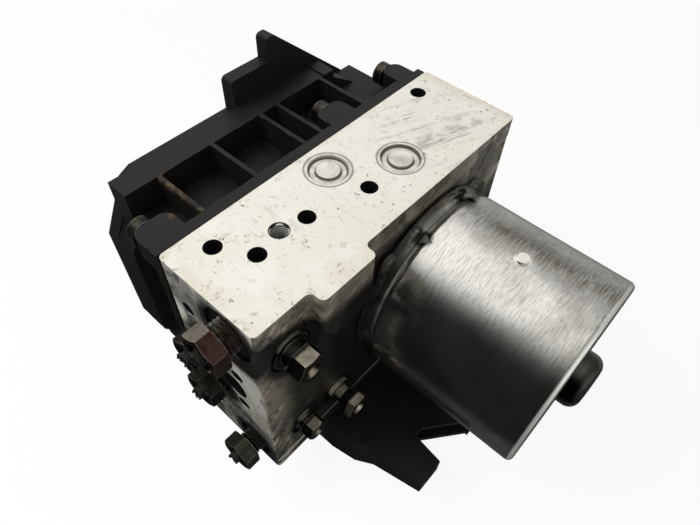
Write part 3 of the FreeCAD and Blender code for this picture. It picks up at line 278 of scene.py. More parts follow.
def make_halo_group():
    """A round patch, full at its middle, with an uneven rim."""
    group, source, target = new_group("oil halo", {"Vector": ORIGIN, "Centre": ORIGIN, "Radius": 0.01,
                                                   "Fade": 0.004, "Breakup": 0.006})
    distance = vector_node(group, "DISTANCE", source["Vector"], source["Centre"], "Value")
    rough = noise_node(group, source["Vector"], 150.0, 6.0, 0.65)
    moved = math_node(group, "MULTIPLY", math_node(group, "SUBTRACT", rough, 0.5), source["Breakup"])
    reach = math_node(group, "ADD", distance, moved)
    inner = math_node(group, "SUBTRACT", source["Radius"], source["Fade"])
    outside = ramp(group, reach, inner, source["Radius"])
    link(group, math_node(group, "SUBTRACT", 1.0, outside), target["Mask"])
    return group


CLOUD = make_cloud_group()
LINES = make_lines_group()
SPECKS = make_speck_group()
EDGES = make_edge_group()
INSIDE = make_inside_group()
HAIR = make_hair_group()
HALO = make_halo_group()


class Finish:
    """A material with its shader, object coordinates and the object's own normal at hand."""

    def __init__(self, name):
        self.material = bpy.data.materials.new(name)
        self.material.use_nodes = True
        self.tree = self.material.node_tree
        self.shader = self.tree.nodes["Principled BSDF"]
        coordinates = self.tree.nodes.new("ShaderNodeTexCoord")
        self.where = coordinates.outputs["Object"]
        self.facing = parts_of(self.tree, coordinates.outputs["Normal"])
        self.place = parts_of(self.tree, self.where)

    def set(self, colour, metal, rough, normal, specular=0.5):
        """Feeds the shader and gives back the finished material."""
        for name, value in (("Base Color", colour), ("Metallic", metal), ("Roughness", rough),
                            ("Normal", normal), ("Specular IOR Level", specular)):
            feed(self.tree, self.shader.inputs[name], value)
        return self.material

    def bump(self, height, distance, strength, base=None):
        """The normal with a relief on it, laid over another relief where one is given."""
        node = add(self.tree, "ShaderNodeBump", {"Height": height, "Distance": distance,
                                                 "Strength": strength})
        if base is not None:
            link(self.tree, base, node.inputs["Normal"])
        return node.outputs["Normal"]

    def cloud(self, scale, cover, softness=0.15):
        return use(self.tree, CLOUD, Vector=self.where, Scale=scale, Cover=cover, Softness=softness)["Mask"]

    def lines(self, stretch, scale, cover, where=None):
        return use(self.tree, LINES, Vector=where or self.where, Stretch=stretch, Scale=scale, Cover=cover)

    def specks(self, scale, size, cover):
        return use(self.tree, SPECKS, Vector=self.where, Scale=scale, Size=size, Cover=cover)["Mask"]

    def edges(self, radius, low, high, breakup=0.5):
        return use(self.tree, EDGES, Radius=radius, Low=low, High=high, Breakup=breakup,
                   Vector=self.where)["Mask"]

    def inside(self, low, high, fade=0.0008):
        return use(self.tree, INSIDE, Vector=self.where, Low=low, High=high, Fade=fade)["Mask"]

    def hairs(self, turns, scale, width, cover):
        """Scratches in several directions, laid over one another."""
        return self.most(*[use(self.tree, HAIR, Vector=self.where, Turn=turn, Scale=scale + 3.0 * k,
                               Width=width, Cover=cover)["Mask"] for k, turn in enumerate(turns)])

    def halo(self, centre, radius, fade, breakup):
        return use(self.tree, HALO, Vector=self.where, Centre=centre, Radius=radius, Fade=fade,
                   Breakup=breakup)["Mask"]

    def halos(self, places, fade, breakup):
        return self.most(*[self.halo(centre, radius, fade, breakup) for centre, radius in places])

    def less(self, value):
        return math_node(self.tree, "SUBTRACT", 1.0, value)

    def times(self, a, b):
        return math_node(self.tree, "MULTIPLY", a, b)

    def most(self, first, *others):
        """The highest of several masks."""
        whole = first
        for mask in others:
            whole = math_node(self.tree, "MAXIMUM", whole, mask)
        return whole

    def mix(self, factor, first, second):
        return mix_colours(self.tree, factor, first, second)

    def lay(self, colour, tint, mask, amount):
        """A colour with a tint laid over it where the mask is, as far as the amount."""
        return self.mix(self.times(mask, amount), colour, tint)

    def value(self, factor, first, second):
        return mix_values(self.tree, factor, first, second)

    def ramp(self, value, low, high, out_low=0.0, out_high=1.0):
        return ramp(self.tree, value, low, high, out_low, out_high)

    def slant(self, axis, angle):
        return turned(self.tree, self.where, axis, angle)

    def round_the_motor(self):
        """Coordinates that follow the can: the way round its axis, and the distance along it."""
        parts = parts_of(self.tree, vector_node(self.tree, "SUBTRACT", self.where, MOTOR_AXIS))
        angle = math_node(self.tree, "ARCTAN2", parts[2], parts[0])
        arc = math_node(self.tree, "MULTIPLY", angle, MOTOR_RADIUS)
        return add(self.tree, "ShaderNodeCombineXYZ", {0: arc, 1: parts[1], 2: 0.0}).outputs[0]


# Finishes of the block

def block_top(f):
    """Milled, wiped bright: cream metal, browned near its rim, with flecks and thin scratches."""
    cream, warm, brown = (0.90, 0.89, 0.83), (0.74, 0.69, 0.56), (0.30, 0.25, 0.16)
    milled_grey, hair_brown, fleck_brown = (0.52, 0.50, 0.44), (0.36, 0.33, 0.27), (0.12, 0.095, 0.05)
    smear_grey, ring_brown = (0.24, 0.225, 0.195), (0.15, 0.125, 0.085)
    rim = f.less(f.inside(at(1.0, 43.5, 4.0), at(129.0, -2.0, -4.0), 0.008))
    near_corner = f.halo(at(2.0, 40.0, 0.0), 0.036, 0.032, 0.020)
    stain = f.times(f.most(rim, f.times(near_corner, 0.7)), f.cloud(85.0, 0.60, 0.16))
    colour = f.lay(cream, warm, f.cloud(13.0, 0.50, 0.20), 0.34)
    colour = f.lay(colour, warm, stain, 0.68)
    colour = f.lay(colour, brown, f.times(rim, f.cloud(340.0, 0.38, 0.05)), 0.58)
    milled = f.lines((1.0, 0.06, 1.0), 620.0, 0.45)
    colour = f.lay(colour, milled_grey, milled["Mask"], 0.34)
    colour = f.lay(colour, hair_brown, f.hairs((0.5, 1.9, 2.7), 17.0, 0.0028, 0.46), 0.46)
    flecks = f.times(f.cloud(620.0, 0.355, 0.03), f.cloud(90.0, 0.50, 0.08))
    colour = f.lay(colour, fleck_brown, flecks, f.ramp(f.most(rim, near_corner), 0.0, 0.6, 0.10, 1.0))
    smear = f.times(f.lines((0.10, 1.0, 1.0), 190.0, 0.52, f.slant("Z", 0.35))["Mask"],
                    f.halo(at(104.0, 22.0, 0.0), 0.030, 0.020, 0.012))
    colour = f.lay(colour, smear_grey, smear, 0.72)
    for x, w in (PUMP_COVER, ACCUMULATOR_COVER):
        beyond = f.less(f.halo(at(x, w, 0.0), 0.0081, 0.0003, 0.0003))
        ring = f.times(f.halo(at(x, w, 0.0), 0.0089, 0.0006, 0.0008), beyond)
        colour = f.lay(colour, ring_brown, ring, 0.80)
    return colour, milled["Lines"], stain


def block_end(f):
    """The near end: sawn grey, with painted shade making it light at its top and darker down, sawn lines and
    grime.
    """
    upper_grey, lower_painted_shade, stain_grey = (0.74, 0.72, 0.65), (0.17, 0.155, 0.13), (0.12, 0.115, 0.10)
    sawn_bright, grime, fine_grime = (0.80, 0.77, 0.68), (0.045, 0.042, 0.034), (0.07, 0.06, 0.04)
    # Painted shade: the near end is darkened from its top downwards.
    colour = f.lay(upper_grey, lower_painted_shade, f.ramp(f.place[2], -0.012, -0.070), 0.80)
    colour = f.lay(colour, stain_grey, f.cloud(38.0, 0.50, 0.09), 0.82)
    colour = f.lay(colour, sawn_bright, f.lines((1.0, 1.0, 0.08), 900.0, 0.48)["Mask"], 0.55)
    colour = f.lay(colour, grime, f.cloud(150.0, 0.42, 0.08), 0.70)
    return f.lay(colour, fine_grime, f.cloud(900.0, 0.36, 0.05), 0.6)


def far_top(f):
    """The wiped region of the motor's side, at its far end and near the top."""
    return f.times(f.ramp(f.place[0], 0.055, 0.082), f.ramp(f.place[2], -0.048, -0.020))


def block_side(f):
    """The motor's side: brown-grey, oiled dark, with a cleaner strip along its top and near edges."""
    brown_grey, wiped_grey, oiled = (0.30, 0.26, 0.20), (0.66, 0.63, 0.54), (0.012, 0.011, 0.009)
    stain_brown, rubbed_bright = (0.09, 0.08, 0.062), (0.70, 0.66, 0.56)
    strip = f.ramp(f.place[2], -0.013, -0.005)
    near = f.ramp(f.place[0], -0.017, -0.029)
    far = far_top(f)
    clean = f.most(strip, far, f.times(near, 0.85))
    shown = f.ramp(clean, 0.0, 1.0, 0.10, 1.0)
    base = f.mix(far, brown_grey, wiped_grey)
    colour = f.lay(base, oiled, f.less(clean), 0.94)
    colour = f.lay(colour, stain_brown, f.times(f.cloud(52.0, 0.50, 0.09), shown), 0.80)
    strokes = f.lines((0.07, 1.0, 1.0), 640.0, 0.49, f.slant("Y", 0.75))["Mask"]
    colour = f.lay(colour, rubbed_bright, f.times(strokes, shown), 0.95)
    return f.lay(colour, OIL_BLACK, f.cloud(170.0, 0.42, 0.07), 0.75)


def block_oil_and_shadow(f, top):
    """Where the block is blackened: oil round the ports with the nuts' painted shadows there, oil over the
    motor's side and in pools low down, and a dark strip along its lower edge.
    """
    # The halos hold oil; round the near end's ports they also hold the nuts' painted shadows.
    halos = f.times(f.halos(PORT_OIL_AND_SHADOW + OIL_SIDE, 0.005, 0.007), f.less(top))
    side = f.times(f.ramp(f.facing[1], -0.2, -0.6), f.ramp(f.place[0], -0.014, 0.004))
    wiped = f.most(far_top(f), f.times(f.ramp(f.place[2], -0.014, -0.005), 0.75))
    side = f.times(side, f.less(f.times(wiped, 0.92)))
    before_far_end = f.less(f.ramp(f.place[0], 0.088, 0.096))
    pool = f.times(f.times(f.less(top), f.cloud(23.0, 0.42, 0.05)), f.ramp(f.place[2], -0.026, -0.050))
    pool = f.times(pool, before_far_end)
    # A dark strip along the block's lower edge, past the near end.
    low = f.times(f.ramp(f.place[2], -0.085, -0.090), f.ramp(f.place[0], -0.018, -0.006))
    low = f.times(f.times(low, before_far_end), f.less(f.ramp(f.facing[1], 0.5, 0.9)))
    pool = f.most(pool, low)
    return f.most(halos, f.most(f.times(side, 0.92), f.times(pool, 0.80)))


def block_aluminium():
    """The block: a finish for each of its sides, oil with the nuts' painted shadows, painted shade on the
    inner walls of its bores, and a thread painted with shade and highlight.
    """
    f = Finish("machined aluminium block")
    edge_wear_and_highlight, oil_and_shadow_black, bore_painted_shade = (0.74, 0.70, 0.60), (0.0075, 0.0072, 0.0062), (0.006, 0.006, 0.006)
    thread_root_shade, thread_crest_highlight = (0.05, 0.05, 0.05), (0.75, 0.74, 0.70)
    top = f.ramp(f.facing[2], 0.85, 0.98)
    grime = f.cloud(55.0, 0.55, 0.14)
    top_colour, milled, stain = block_top(f)
    near_end = f.times(f.ramp(f.facing[0], -0.85, -0.98), f.less(f.ramp(f.place[0], -0.029, -0.026)))
    sawn = f.most(near_end, f.ramp(f.facing[0], 0.85, 0.98), f.ramp(f.facing[1], 0.85, 0.98),
                  f.ramp(f.facing[2], -0.85, -0.98))
    colour = f.mix(top, f.mix(sawn, block_side(f), block_end(f)), top_colour)
    # Worn edges, lightened partly as a painted highlight.
    colour = f.lay(colour, edge_wear_and_highlight, f.edges(0.0008, 0.02, 0.22), f.value(top, 0.40, 0.30))
    oil = block_oil_and_shadow(f, top)
    # Oil, with the nuts' painted shadows round the near end's ports, laid almost black.
    colour = f.lay(colour, oil_and_shadow_black, oil, 0.97)

    # Painted shade: the inner walls of the bores are laid near black.
    bores = f.most(f.inside(at(0.05, 38.9, 97.0), at(129.9, 2.0, 0.05), 0.0002),
                   f.inside(at(2.0, 40.75, 97.0), at(128.0, 0.05, 0.05), 0.0002))
    thread = f.inside(at(28.7, 21.4, 17.0), at(34.3, 15.8, 0.3), 0.0001)
    # The thread is painted dark in its roots and bright on its crests: painted shade and painted highlight.
    turns = add(f.tree, "ShaderNodeTexWave", {"Vector": f.where, "Scale": 314.0, "Distortion": 0.6},
                wave_type="BANDS", bands_direction="Z", wave_profile="SIN").outputs["Fac"]
    plain_bores = f.times(bores, f.less(thread))
    thread_colour = f.mix(turns, thread_root_shade, thread_crest_highlight)
    colour = f.mix(bores, colour, f.mix(thread, bore_painted_shade, thread_colour))

    bare = f.times(f.less(oil), f.less(plain_bores))
    rough = f.value(top, f.value(grime, 0.38, 0.55), f.value(stain, 0.46, 0.58))
    rough = f.value(plain_bores, f.value(oil, rough, 0.30), 1.0)
    relief = f.bump(f.times(turns, thread), 0.0004, 1.0, f.bump(milled, 0.00002, 0.5))
    return f.set(colour, f.times(f.value(top, 0.34, 0.12), bare), rough, relief, specular=0.25)


# Finishes of the pieces round it

def cover_steel():
    """The pressed covers: turned rings, a bright middle and a grimy outer ring."""
    f = Finish("turned cover steel")
    bright, warm, ring_brown = (0.80, 0.78, 0.71), (0.50, 0.45, 0.36), (0.085, 0.072, 0.050)
    edge_dark, turned_grey = (0.10, 0.09, 0.07), (0.30, 0.28, 0.24)
    dirt = f.cloud(170.0, 0.48, 0.12)
    rings = []
    for (x, w), radii in ((PUMP_COVER, (0.0052, 0.0074)), (ACCUMULATOR_COVER, (0.0050, 0.0072))):
        for radius in radii:
            outer = f.halo(at(x, w, 0.0), radius, 0.0005, 0.0004)
            inner = f.halo(at(x, w, 0.0), radius - 0.0006, 0.0005, 0.0004)
            rings.append(f.times(outer, f.less(inner)))
    colour = f.lay(bright, warm, dirt, 0.55)
    colour = f.lay(colour, ring_brown, f.most(*rings), 0.88)
    colour = f.lay(colour, edge_dark, f.edges(0.0006, 0.03, 0.3, 0.3), 0.85)
    colour = f.lay(colour, turned_grey, f.lines((1.0, 0.15, 1.0), 1500.0, 0.45)["Mask"], 0.25)
    relief = f.bump(f.cloud(900.0, 0.5, 0.3), 0.00003, 0.4)
    return f.set(colour, 0.6, f.value(dirt, 0.36, 0.6), relief)


def motor_steel():
    """The can: plated steel, finely brushed round it, scuffed, with a browned streak along its top, grime
    and painted shade at its seam, painted shadows in its notches and painted highlights on its edges and end
    rim.
    """
    f = Finish("drawn motor steel")
    bright, dull, grain_dark = (0.70, 0.69, 0.66), (0.31, 0.30, 0.275), (0.10, 0.095, 0.085)
    brushed_dark, brushed_bright = (0.16, 0.15, 0.135), (0.88, 0.87, 0.83)
    streak_brown, smudge_grey, speck_brown = (0.10, 0.09, 0.07), (0.14, 0.135, 0.12), (0.07, 0.06, 0.05)
    seam_grime_and_shade, edge_wear_and_highlight, notch_painted_shadow = (0.05, 0.045, 0.036), (0.84, 0.82, 0.75), (0.02, 0.018, 0.015)
    boss_black, can_rim_highlight, rivet_bright = (0.022, 0.021, 0.018), (0.93, 0.92, 0.87), (0.82, 0.81, 0.76)
    around = f.round_the_motor()
    brushed = f.lines((0.07, 1.0, 1.0), 1700.0, 0.50, around)
    grain = f.lines((0.10, 1.0, 1.0), 2300.0, 0.50, around)["Lines"]
    coarse = f.lines((0.16, 1.0, 1.0), 620.0, 0.44, around)
    colour = f.lay(bright, dull, f.cloud(26.0, 0.50, 0.13), 0.82)
    colour = f.mix(f.ramp(grain, 0.46, 0.68, 0.0, 0.50), colour, grain_dark)
    colour = f.lay(colour, brushed_dark, brushed["Mask"], 0.50)
    colour = f.lay(colour, brushed_bright, coarse["Mask"], 0.30)

    arc, along, _ = parts_of(f.tree, around)
    streak = f.times(f.ramp(arc, 0.0440, 0.0520), f.less(f.ramp(arc, 0.0520, 0.0620)))
    streak = f.times(streak, f.times(f.ramp(along, -0.042, -0.064), f.cloud(80.0, 0.66, 0.14)))
    colour = f.lay(colour, streak_brown, streak, f.ramp(brushed["Lines"], 0.35, 0.62, 0.35, 0.92))
    end = f.ramp(f.facing[1], -0.80, -0.97)
    colour = f.lay(colour, smudge_grey, f.times(end, f.cloud(62.0, 0.50, 0.14)), 0.70)
    colour = f.lay(colour, speck_brown, f.specks(900.0, 0.26, 0.34), 0.7)

    # Grime and painted shade at the flange zone where the can meets the block.
    seam = f.inside(at(40.0, 46.2, 92.0), at(126.0, 40.0, 6.0), 0.0016)
    colour = f.lay(colour, seam_grime_and_shade, seam, f.times(f.cloud(120.0, 0.50, 0.14), 0.45))
    # Worn edges, lightened partly as a painted highlight.
    colour = f.lay(colour, edge_wear_and_highlight, f.edges(0.0006, 0.03, 0.3, 0.35), 0.75)
    # Painted shadows in the two notches of the flange.
    notch_shadows = f.halos([(at(70.2, 46.6, 14.2), 0.0044), (at(95.8, 46.6, 14.2), 0.0044)], 0.0022, 0.002)
    colour = f.lay(colour, notch_painted_shadow, notch_shadows, 0.92)
    boss = f.halo(at(MOTOR_X, 112.6, 49.4), 0.0145, 0.0020, 0.001)
    colour = f.lay(colour, boss_black, boss, 0.94)
    # Painted highlight: the can's end rim and the faces turned partly its way are laid bright.
    rim = f.times(f.ramp(f.facing[1], -0.12, -0.40), f.less(f.ramp(f.facing[1], -0.75, -0.95)))
    rim = f.times(rim, f.less(boss))
    colour = f.lay(colour, can_rim_highlight, rim, 0.70)
    rivet = f.halo(at(MOTOR_X, 77.0, 10.3), 0.0034, 0.0006, 0.0003)
    colour = f.mix(rivet, colour, rivet_bright)

    relief = f.bump(brushed["Lines"], 0.00002, 0.4, f.bump(coarse["Lines"], 0.00003, 0.4))
    return f.set(colour, f.value(rim, 0.98, 0.70), f.ramp(grain, 0.35, 0.65, 0.13, 0.24), relief,
                 specular=0.25)


def moulded_black():
    """Glass-filled black plastic: fine grain, a thin film of dust and brown rubs on its edges, with painted
    glints among the rubs and in one patch.
    """
    f = Finish("moulded black plastic")
    black, dusty, rub_brown_and_glint = (0.0078, 0.0078, 0.0074), (0.0135, 0.0127, 0.0105), (0.24, 0.21, 0.15)
    rib_rub_and_glint_brown, speck_brown = (0.16, 0.10, 0.045), (0.13, 0.11, 0.08)
    film = f.cloud(42.0, 0.40, 0.16)
    dust = f.times(film, f.times(f.ramp(f.facing[2], 0.3, 0.9), 0.5))
    colour = f.mix(dust, black, dusty)
    # Brown rubs on the edges, partly painted glints.
    rubs_and_glints = f.times(f.edges(0.0006, 0.04, 0.35, 0.85), f.times(f.cloud(210.0, 0.42, 0.06), 0.60))
    colour = f.mix(rubs_and_glints, colour, rub_brown_and_glint)
    # A brown rub along the rib, and a painted glint in the patch near the near corner.
    rib = f.inside(at(20.0, -5.0, 2.4), at(23.4, -28.5, -1.0), 0.0005)
    patch = f.halo(at(13.4, -11.0, 2.0), 0.0030, 0.0024, 0.004)
    colour = f.lay(colour, rib_rub_and_glint_brown, f.times(f.most(rib, patch), f.cloud(330.0, 0.46, 0.12)), 0.55)
    colour = f.lay(colour, speck_brown, f.specks(420.0, 0.22, 0.34), 0.4)
    relief = f.bump(noise_node(f.tree, f.where, 2600.0, 3.0, 0.6), 0.00004, 0.5)
    return f.set(colour, 0.0, f.value(film, 0.46, 0.62), relief, specular=0.26)


def yellow_zinc():
    """Yellow zinc on the nuts, browned and oiled on the flats and worn along the corners, with painted
    highlights on the corners and painted light and shade on the first nut's faces and the plug's top.
    """
    f = Finish("yellow zinc plating")
    shaded_face_red, lit_face_beige, red_brown = (0.050, 0.024, 0.018), (0.62, 0.57, 0.46), (0.09, 0.06, 0.045)
    oil_brown, oil_dark, edge_wear_and_highlight = (0.060, 0.055, 0.043), (0.016, 0.015, 0.0125), (0.78, 0.75, 0.64)
    plug_top_painted_light, thread_grey = (0.62, 0.56, 0.43), (0.20, 0.19, 0.165)
    brown = f.cloud(120.0, 0.50, 0.14)
    first_nut = f.times(f.less(f.ramp(f.place[2], -0.022, -0.026)), f.less(f.ramp(f.place[1], 0.018, 0.020)))
    # Painted light and shade on the first nut: faces turned up and towards the unit are laid light, the
    # others dark red.
    wiped = f.times(f.ramp(f.facing[1], 0.30, 0.70), f.ramp(f.facing[2], 0.15, 0.40))
    clean = f.mix(wiped, shaded_face_red, lit_face_beige)
    clean = f.lay(clean, red_brown, brown, 0.4)
    oiled = f.mix(brown, oil_brown, oil_dark)
    colour = f.mix(first_nut, oiled, clean)
    colour = f.lay(colour, OIL_BLACK, f.cloud(300.0, 0.40, 0.08), 0.8)
    # Worn corners, lightened partly as a painted highlight.
    colour = f.lay(colour, edge_wear_and_highlight, f.edges(0.00045, 0.03, 0.3, 0.45), 0.85)

    plug_neck = f.inside(at(26.0, 50.4, 90.0), at(42.0, 45.2, 70.0))
    # Painted light: the plug's upper faces laid beige.
    plug = f.times(f.inside(at(26.0, 66.0, 90.0), at(42.0, 40.6, 70.0)), f.ramp(f.facing[2], 0.3, 0.8))
    plug = f.times(plug, f.less(plug_neck))
    colour = f.lay(colour, NECK_BLACK, plug_neck, 0.93)
    colour = f.lay(colour, plug_top_painted_light, plug, f.less(f.times(brown, 0.7)))
    nut_neck = f.inside(at(-4.3, 40.0, 20.0), at(0.5, 18.0, 2.0), 0.0004)
    colour = f.lay(colour, thread_grey, nut_neck, f.cloud(420.0, 0.46, 0.10))

    metal = f.value(f.most(plug, f.times(first_nut, wiped)), 0.92, 0.35)
    relief = f.bump(f.cloud(1200.0, 0.5, 0.3), 0.00004, 0.6)
    return f.set(colour, metal, f.value(f.most(brown, plug_neck), 0.24, 0.42), relief)


def grey_zinc():
    """Worn zinc: upper flats painted light beige, the other faces dark with oil and painted shade, dark on
    the necks of the plugs, with painted highlights on its worn edges.
    """
    f = Finish("grey zinc plating")
    oiled, upper_flat_painted_light, unit_side_dark = (0.030, 0.028, 0.022), (0.66, 0.60, 0.46), (0.030, 0.029, 0.026)
    dirt_brown, edge_wear_and_highlight = (0.045, 0.04, 0.032), (0.80, 0.78, 0.70)
    dirt = f.cloud(190.0, 0.54, 0.12)
    up = f.ramp(f.facing[2], 0.58, 0.86)
    unit_side = f.ramp(f.place[1], 0.020, 0.024)
    # Painted light and shade: the upper flats laid beige, the other faces dark with oil.
    colour = f.mix(up, oiled, upper_flat_painted_light)
    colour = f.lay(colour, unit_side_dark, unit_side, 0.9)
    colour = f.lay(colour, dirt_brown, dirt, 0.60)
    necks = f.most(f.inside(at(4.0, 46.6, 32.0), at(22.0, 41.0, 13.0)),
                   f.inside(at(9.0, 44.8, 88.0), at(23.0, 41.0, 73.0)))
    colour = f.lay(colour, NECK_BLACK, necks, 0.93)
    # Worn edges, lightened partly as a painted highlight.
    colour = f.lay(colour, edge_wear_and_highlight, f.edges(0.00045, 0.03, 0.3, 0.4), 0.9)
    relief = f.bump(f.cloud(1100.0, 0.5, 0.3), 0.00004, 0.6)
    return f.set(colour, f.value(up, 0.92, 0.45), f.value(f.most(dirt, necks), 0.24, 0.45), relief)


def black_pipe():
    """Black-coated pipe ends, torn off, with bare steel along the tear, laid bright partly as painted
    glints.
    """
    f = Finish("coated pipe")
    coated, flaked_brown, bare_steel_and_glint = (0.006, 0.006, 0.0056), (0.026, 0.024, 0.020), (0.56, 0.54, 0.46)
    flaked = f.cloud(520.0, 0.46, 0.08)
    colour = f.mix(flaked, coated, flaked_brown)
    # Bare steel along the tear, laid bright partly as painted glints.
    colour = f.lay(colour, bare_steel_and_glint, f.edges(0.0003, 0.12, 0.6, 0.8), 0.55)
    relief = f.bump(f.cloud(900.0, 0.5, 0.25), 0.00015, 0.8)
    return f.set(colour, 0.25, f.value(flaked, 0.40, 0.70), relief)


# Plain finishes of the inner pieces

def plain_metal(name, light, dark, scale, metal=0.9, rough=0.3):
    """Ground or wound metal of the inner pieces, with oil marks."""
    f = Finish(name)
    mark = f.cloud(scale, 0.5, 0.14)
    ground = f.lines((1.0, 1.0, 0.12), 1400.0, 0.5)
    colour = f.lay(f.mix(mark, light, dark), dark, ground["Mask"], 0.3)
    return f.set(colour, metal, f.value(mark, rough, rough + 0.2), f.bump(ground["Lines"], 0.00003, 0.5))


def plain_moulding(name, light, dark, rough=0.6):
    """Rubber, carbon, resin board and other unplated pieces."""
    f = Finish(name)
    mark = f.cloud(160.0, 0.5, 0.14)
    relief = f.bump(noise_node(f.tree, f.where, 1800.0, 3.0, 0.5), 0.00004, 0.6)
    return f.set(f.mix(mark, light, dark), 0.0, f.value(mark, rough, rough + 0.15), relief)


FINISHES = {
    "block_aluminium": block_aluminium(),
    "cover_steel": cover_steel(),
    "motor_steel": motor_steel(),
    "inner_steel": plain_metal("ground steel", (0.60, 0.60, 0.60), (0.36, 0.35, 0.33), 220.0),
    "spring_steel": plain_metal("spring wire", (0.44, 0.44, 0.45), (0.24, 0.23, 0.21), 320.0),
    "core_iron": plain_metal("lamination iron", (0.30, 0.30, 0.30), (0.16, 0.15, 0.13), 260.0, 0.7, 0.5),
    "magnet_ferrite": plain_moulding("sintered ferrite", (0.11, 0.11, 0.115), (0.07, 0.07, 0.07)),
    "copper": plain_metal("drawn copper", (0.72, 0.40, 0.22), (0.45, 0.22, 0.12), 300.0, rough=0.32),
    "carbon": plain_moulding("pressed carbon", (0.07, 0.07, 0.075), (0.04, 0.04, 0.04), 0.5),
    "black_plastic": moulded_black(),
    "board_green": plain_moulding("resin board", (0.05, 0.20, 0.09), (0.03, 0.13, 0.06), 0.4),
    "chip_black": plain_moulding("component moulding", (0.04, 0.04, 0.04), (0.02, 0.02, 0.02), 0.45),
    "seal_rubber": plain_moulding("seal rubber", (0.018, 0.018, 0.018), (0.035, 0.033, 0.03), 0.7),
    "yellow_zinc": yellow_zinc(),
    "grey_zinc": grey_zinc(),
    "pipe_steel": black_pipe(),
}


def dress_nodes():
    """Each piece gets the finish of its slot; the accumulators' pistons are turned aluminium."""
    turned_aluminium = plain_metal("turned aluminium", (0.66, 0.66, 0.65), (0.42, 0.41, 0.39), 240.0)
    for name, node in NODES.items():
        is_piston = name.startswith("accumulator_piston")
        node.data.materials.clear()
        node.data.materials.append(turned_aluminium if is_piston else FINISHES[SLOTS[name]])


# Modelling helpers

def only(piece):
    """Selects one object and nothing else."""
    bpy.ops.object.select_all(action="DESELECT")
    piece.select_set(True)
    bpy.context.view_layer.objects.active = piece


def mend_skin(gap):
    """Merges what lies together and turns every face outwards."""
    bpy.ops.object.mode_set(mode="EDIT")
    bpy.ops.mesh.select_all(action="SELECT")
    bpy.ops.mesh.remove_doubles(threshold=gap)
    bpy.ops.mesh.normals_make_consistent(inside=False)
    bpy.ops.object.mode_set(mode="OBJECT")


# Torn pipe ends: the pipe's size, where it starts in front of the nut and how far it reaches, how far it is
# crushed at its end, how far its skin is dented there and near the nut, and how far its rim is splintered

PIPE_RADIUS = 2.36 * MM
PIPE_WALL = 0.62 * MM
PIPE_SIDES = 26
PIPE_MERGE = 0.01 * MM
TORN_START = 0.6
TORN_REACH = 7.0 * MM
TORN_RINGS = 9
CRUSH = 0.20
END_DENTS = 0.42 * MM
NUT_DENTS = 0.05 * MM
SPLINTERS = 0.75 * MM


def torn_pipe(w, h, start, seed):
    """A crushed pipe end that runs out of its nut along -x and ends in a ragged rim."""
    middle = at(-start, w, h)
    bpy.ops.object.select_all(action="DESELECT")
    bpy.ops.mesh.primitive_circle_add(vertices=PIPE_SIDES, radius=PIPE_RADIUS, location=middle,
                                      rotation=(0.0, math.pi / 2, 0.0))
    pipe = bpy.context.active_object
    bpy.ops.object.transform_apply(location=True, rotation=True, scale=True)
    bpy.ops.object.mode_set(mode="EDIT")
    bpy.ops.mesh.select_all(action="SELECT")
    step = (-TORN_REACH / TORN_RINGS, 0.0, 0.0)
    for k in range(TORN_RINGS):
        share = (k + 1) / TORN_RINGS
        bpy.ops.mesh.extrude_region_move(TRANSFORM_OT_translate={"value": step})
        middle = middle + Vector(step)
        flat = CRUSH * share * noise.noise(Vector((seed, share * 2.2, 0.0)))
        bpy.ops.transform.resize(value=(1.0, 1.0 + flat, 1.0 - flat), center_override=middle)
        bpy.ops.transform.vertex_random(offset=NUT_DENTS + END_DENTS * share ** 3, seed=int(seed * 10) + k)
    bpy.ops.transform.vertex_random(offset=SPLINTERS, seed=int(seed * 10) + 40)
    bpy.ops.object.mode_set(mode="OBJECT")
    mend_skin(PIPE_MERGE)
    wall = pipe.modifiers.new("wall", "SOLIDIFY")
    wall.thickness = PIPE_WALL
    wall.offset = -1.0
    soft = pipe.modifiers.new("soft", "SUBSURF")
    soft.levels = 2
    soft.render_levels = 2
    only(pipe)
    for modifier in ("wall", "soft"):
        bpy.ops.object.modifier_apply(modifier=modifier)
    return pipe


def torn_pipes():
    """What is left of the four brake pipes in their nuts."""
    pipes = [torn_pipe(w, h, neck + TORN_START, 3.7 * k + 1.0) for k, (w, h, neck) in enumerate(PIPE_PORTS)]
    only(pipes[0])
    for pipe in pipes[1:]:
        pipe.select_set(True)
    bpy.ops.object.join()
    bpy.ops.object.shade_smooth()
    made = bpy.context.active_object
    made.name = "torn_pipe_ends"
    made.data.materials.clear()
    made.data.materials.append(FINISHES["pipe_steel"])
    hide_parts("pipe_stubs")
    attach(made, "base")


# Coil springs: how far the piston travels, and the heights of the seats at the top and the bottom, in metres

COIL_MERGE = 0.001 * MM
COIL_SMOOTH_ANGLE = 0.7
PUMP_TRAVEL = 0.0012
PUMP_SEATS = (-0.01736, -0.07936)
ACCUMULATOR_TRAVEL = 0.0050
ACCUMULATOR_SEATS = (-0.00346, -0.09326)


def coil_springs():
    """The pump's and the accumulators' coil springs, each a merged, smoothly shaded copy of its part."""
    for kind, travel, seats in (("pump", PUMP_TRAVEL, PUMP_SEATS),
                                ("accumulator", ACCUMULATOR_TRAVEL, ACCUMULATOR_SEATS)):
        for side, seat in zip(("top", "bottom"), seats):
            name = kind + "_spring_" + side
            made = NODES[name].copy()
            made.data = NODES[name].data.copy()
            made.parent = None
            made.name = name + "_coil"
            bpy.context.scene.collection.objects.link(made)
            only(made)
            mend_skin(COIL_MERGE)
            bpy.ops.object.shade_smooth_by_angle(angle=COIL_SMOOTH_ANGLE)
            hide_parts(name)
            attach(made, "base")
            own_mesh(made)


# Stage, light and camera: lengths in metres, powers in watts, the focal length in pixels of the photograph

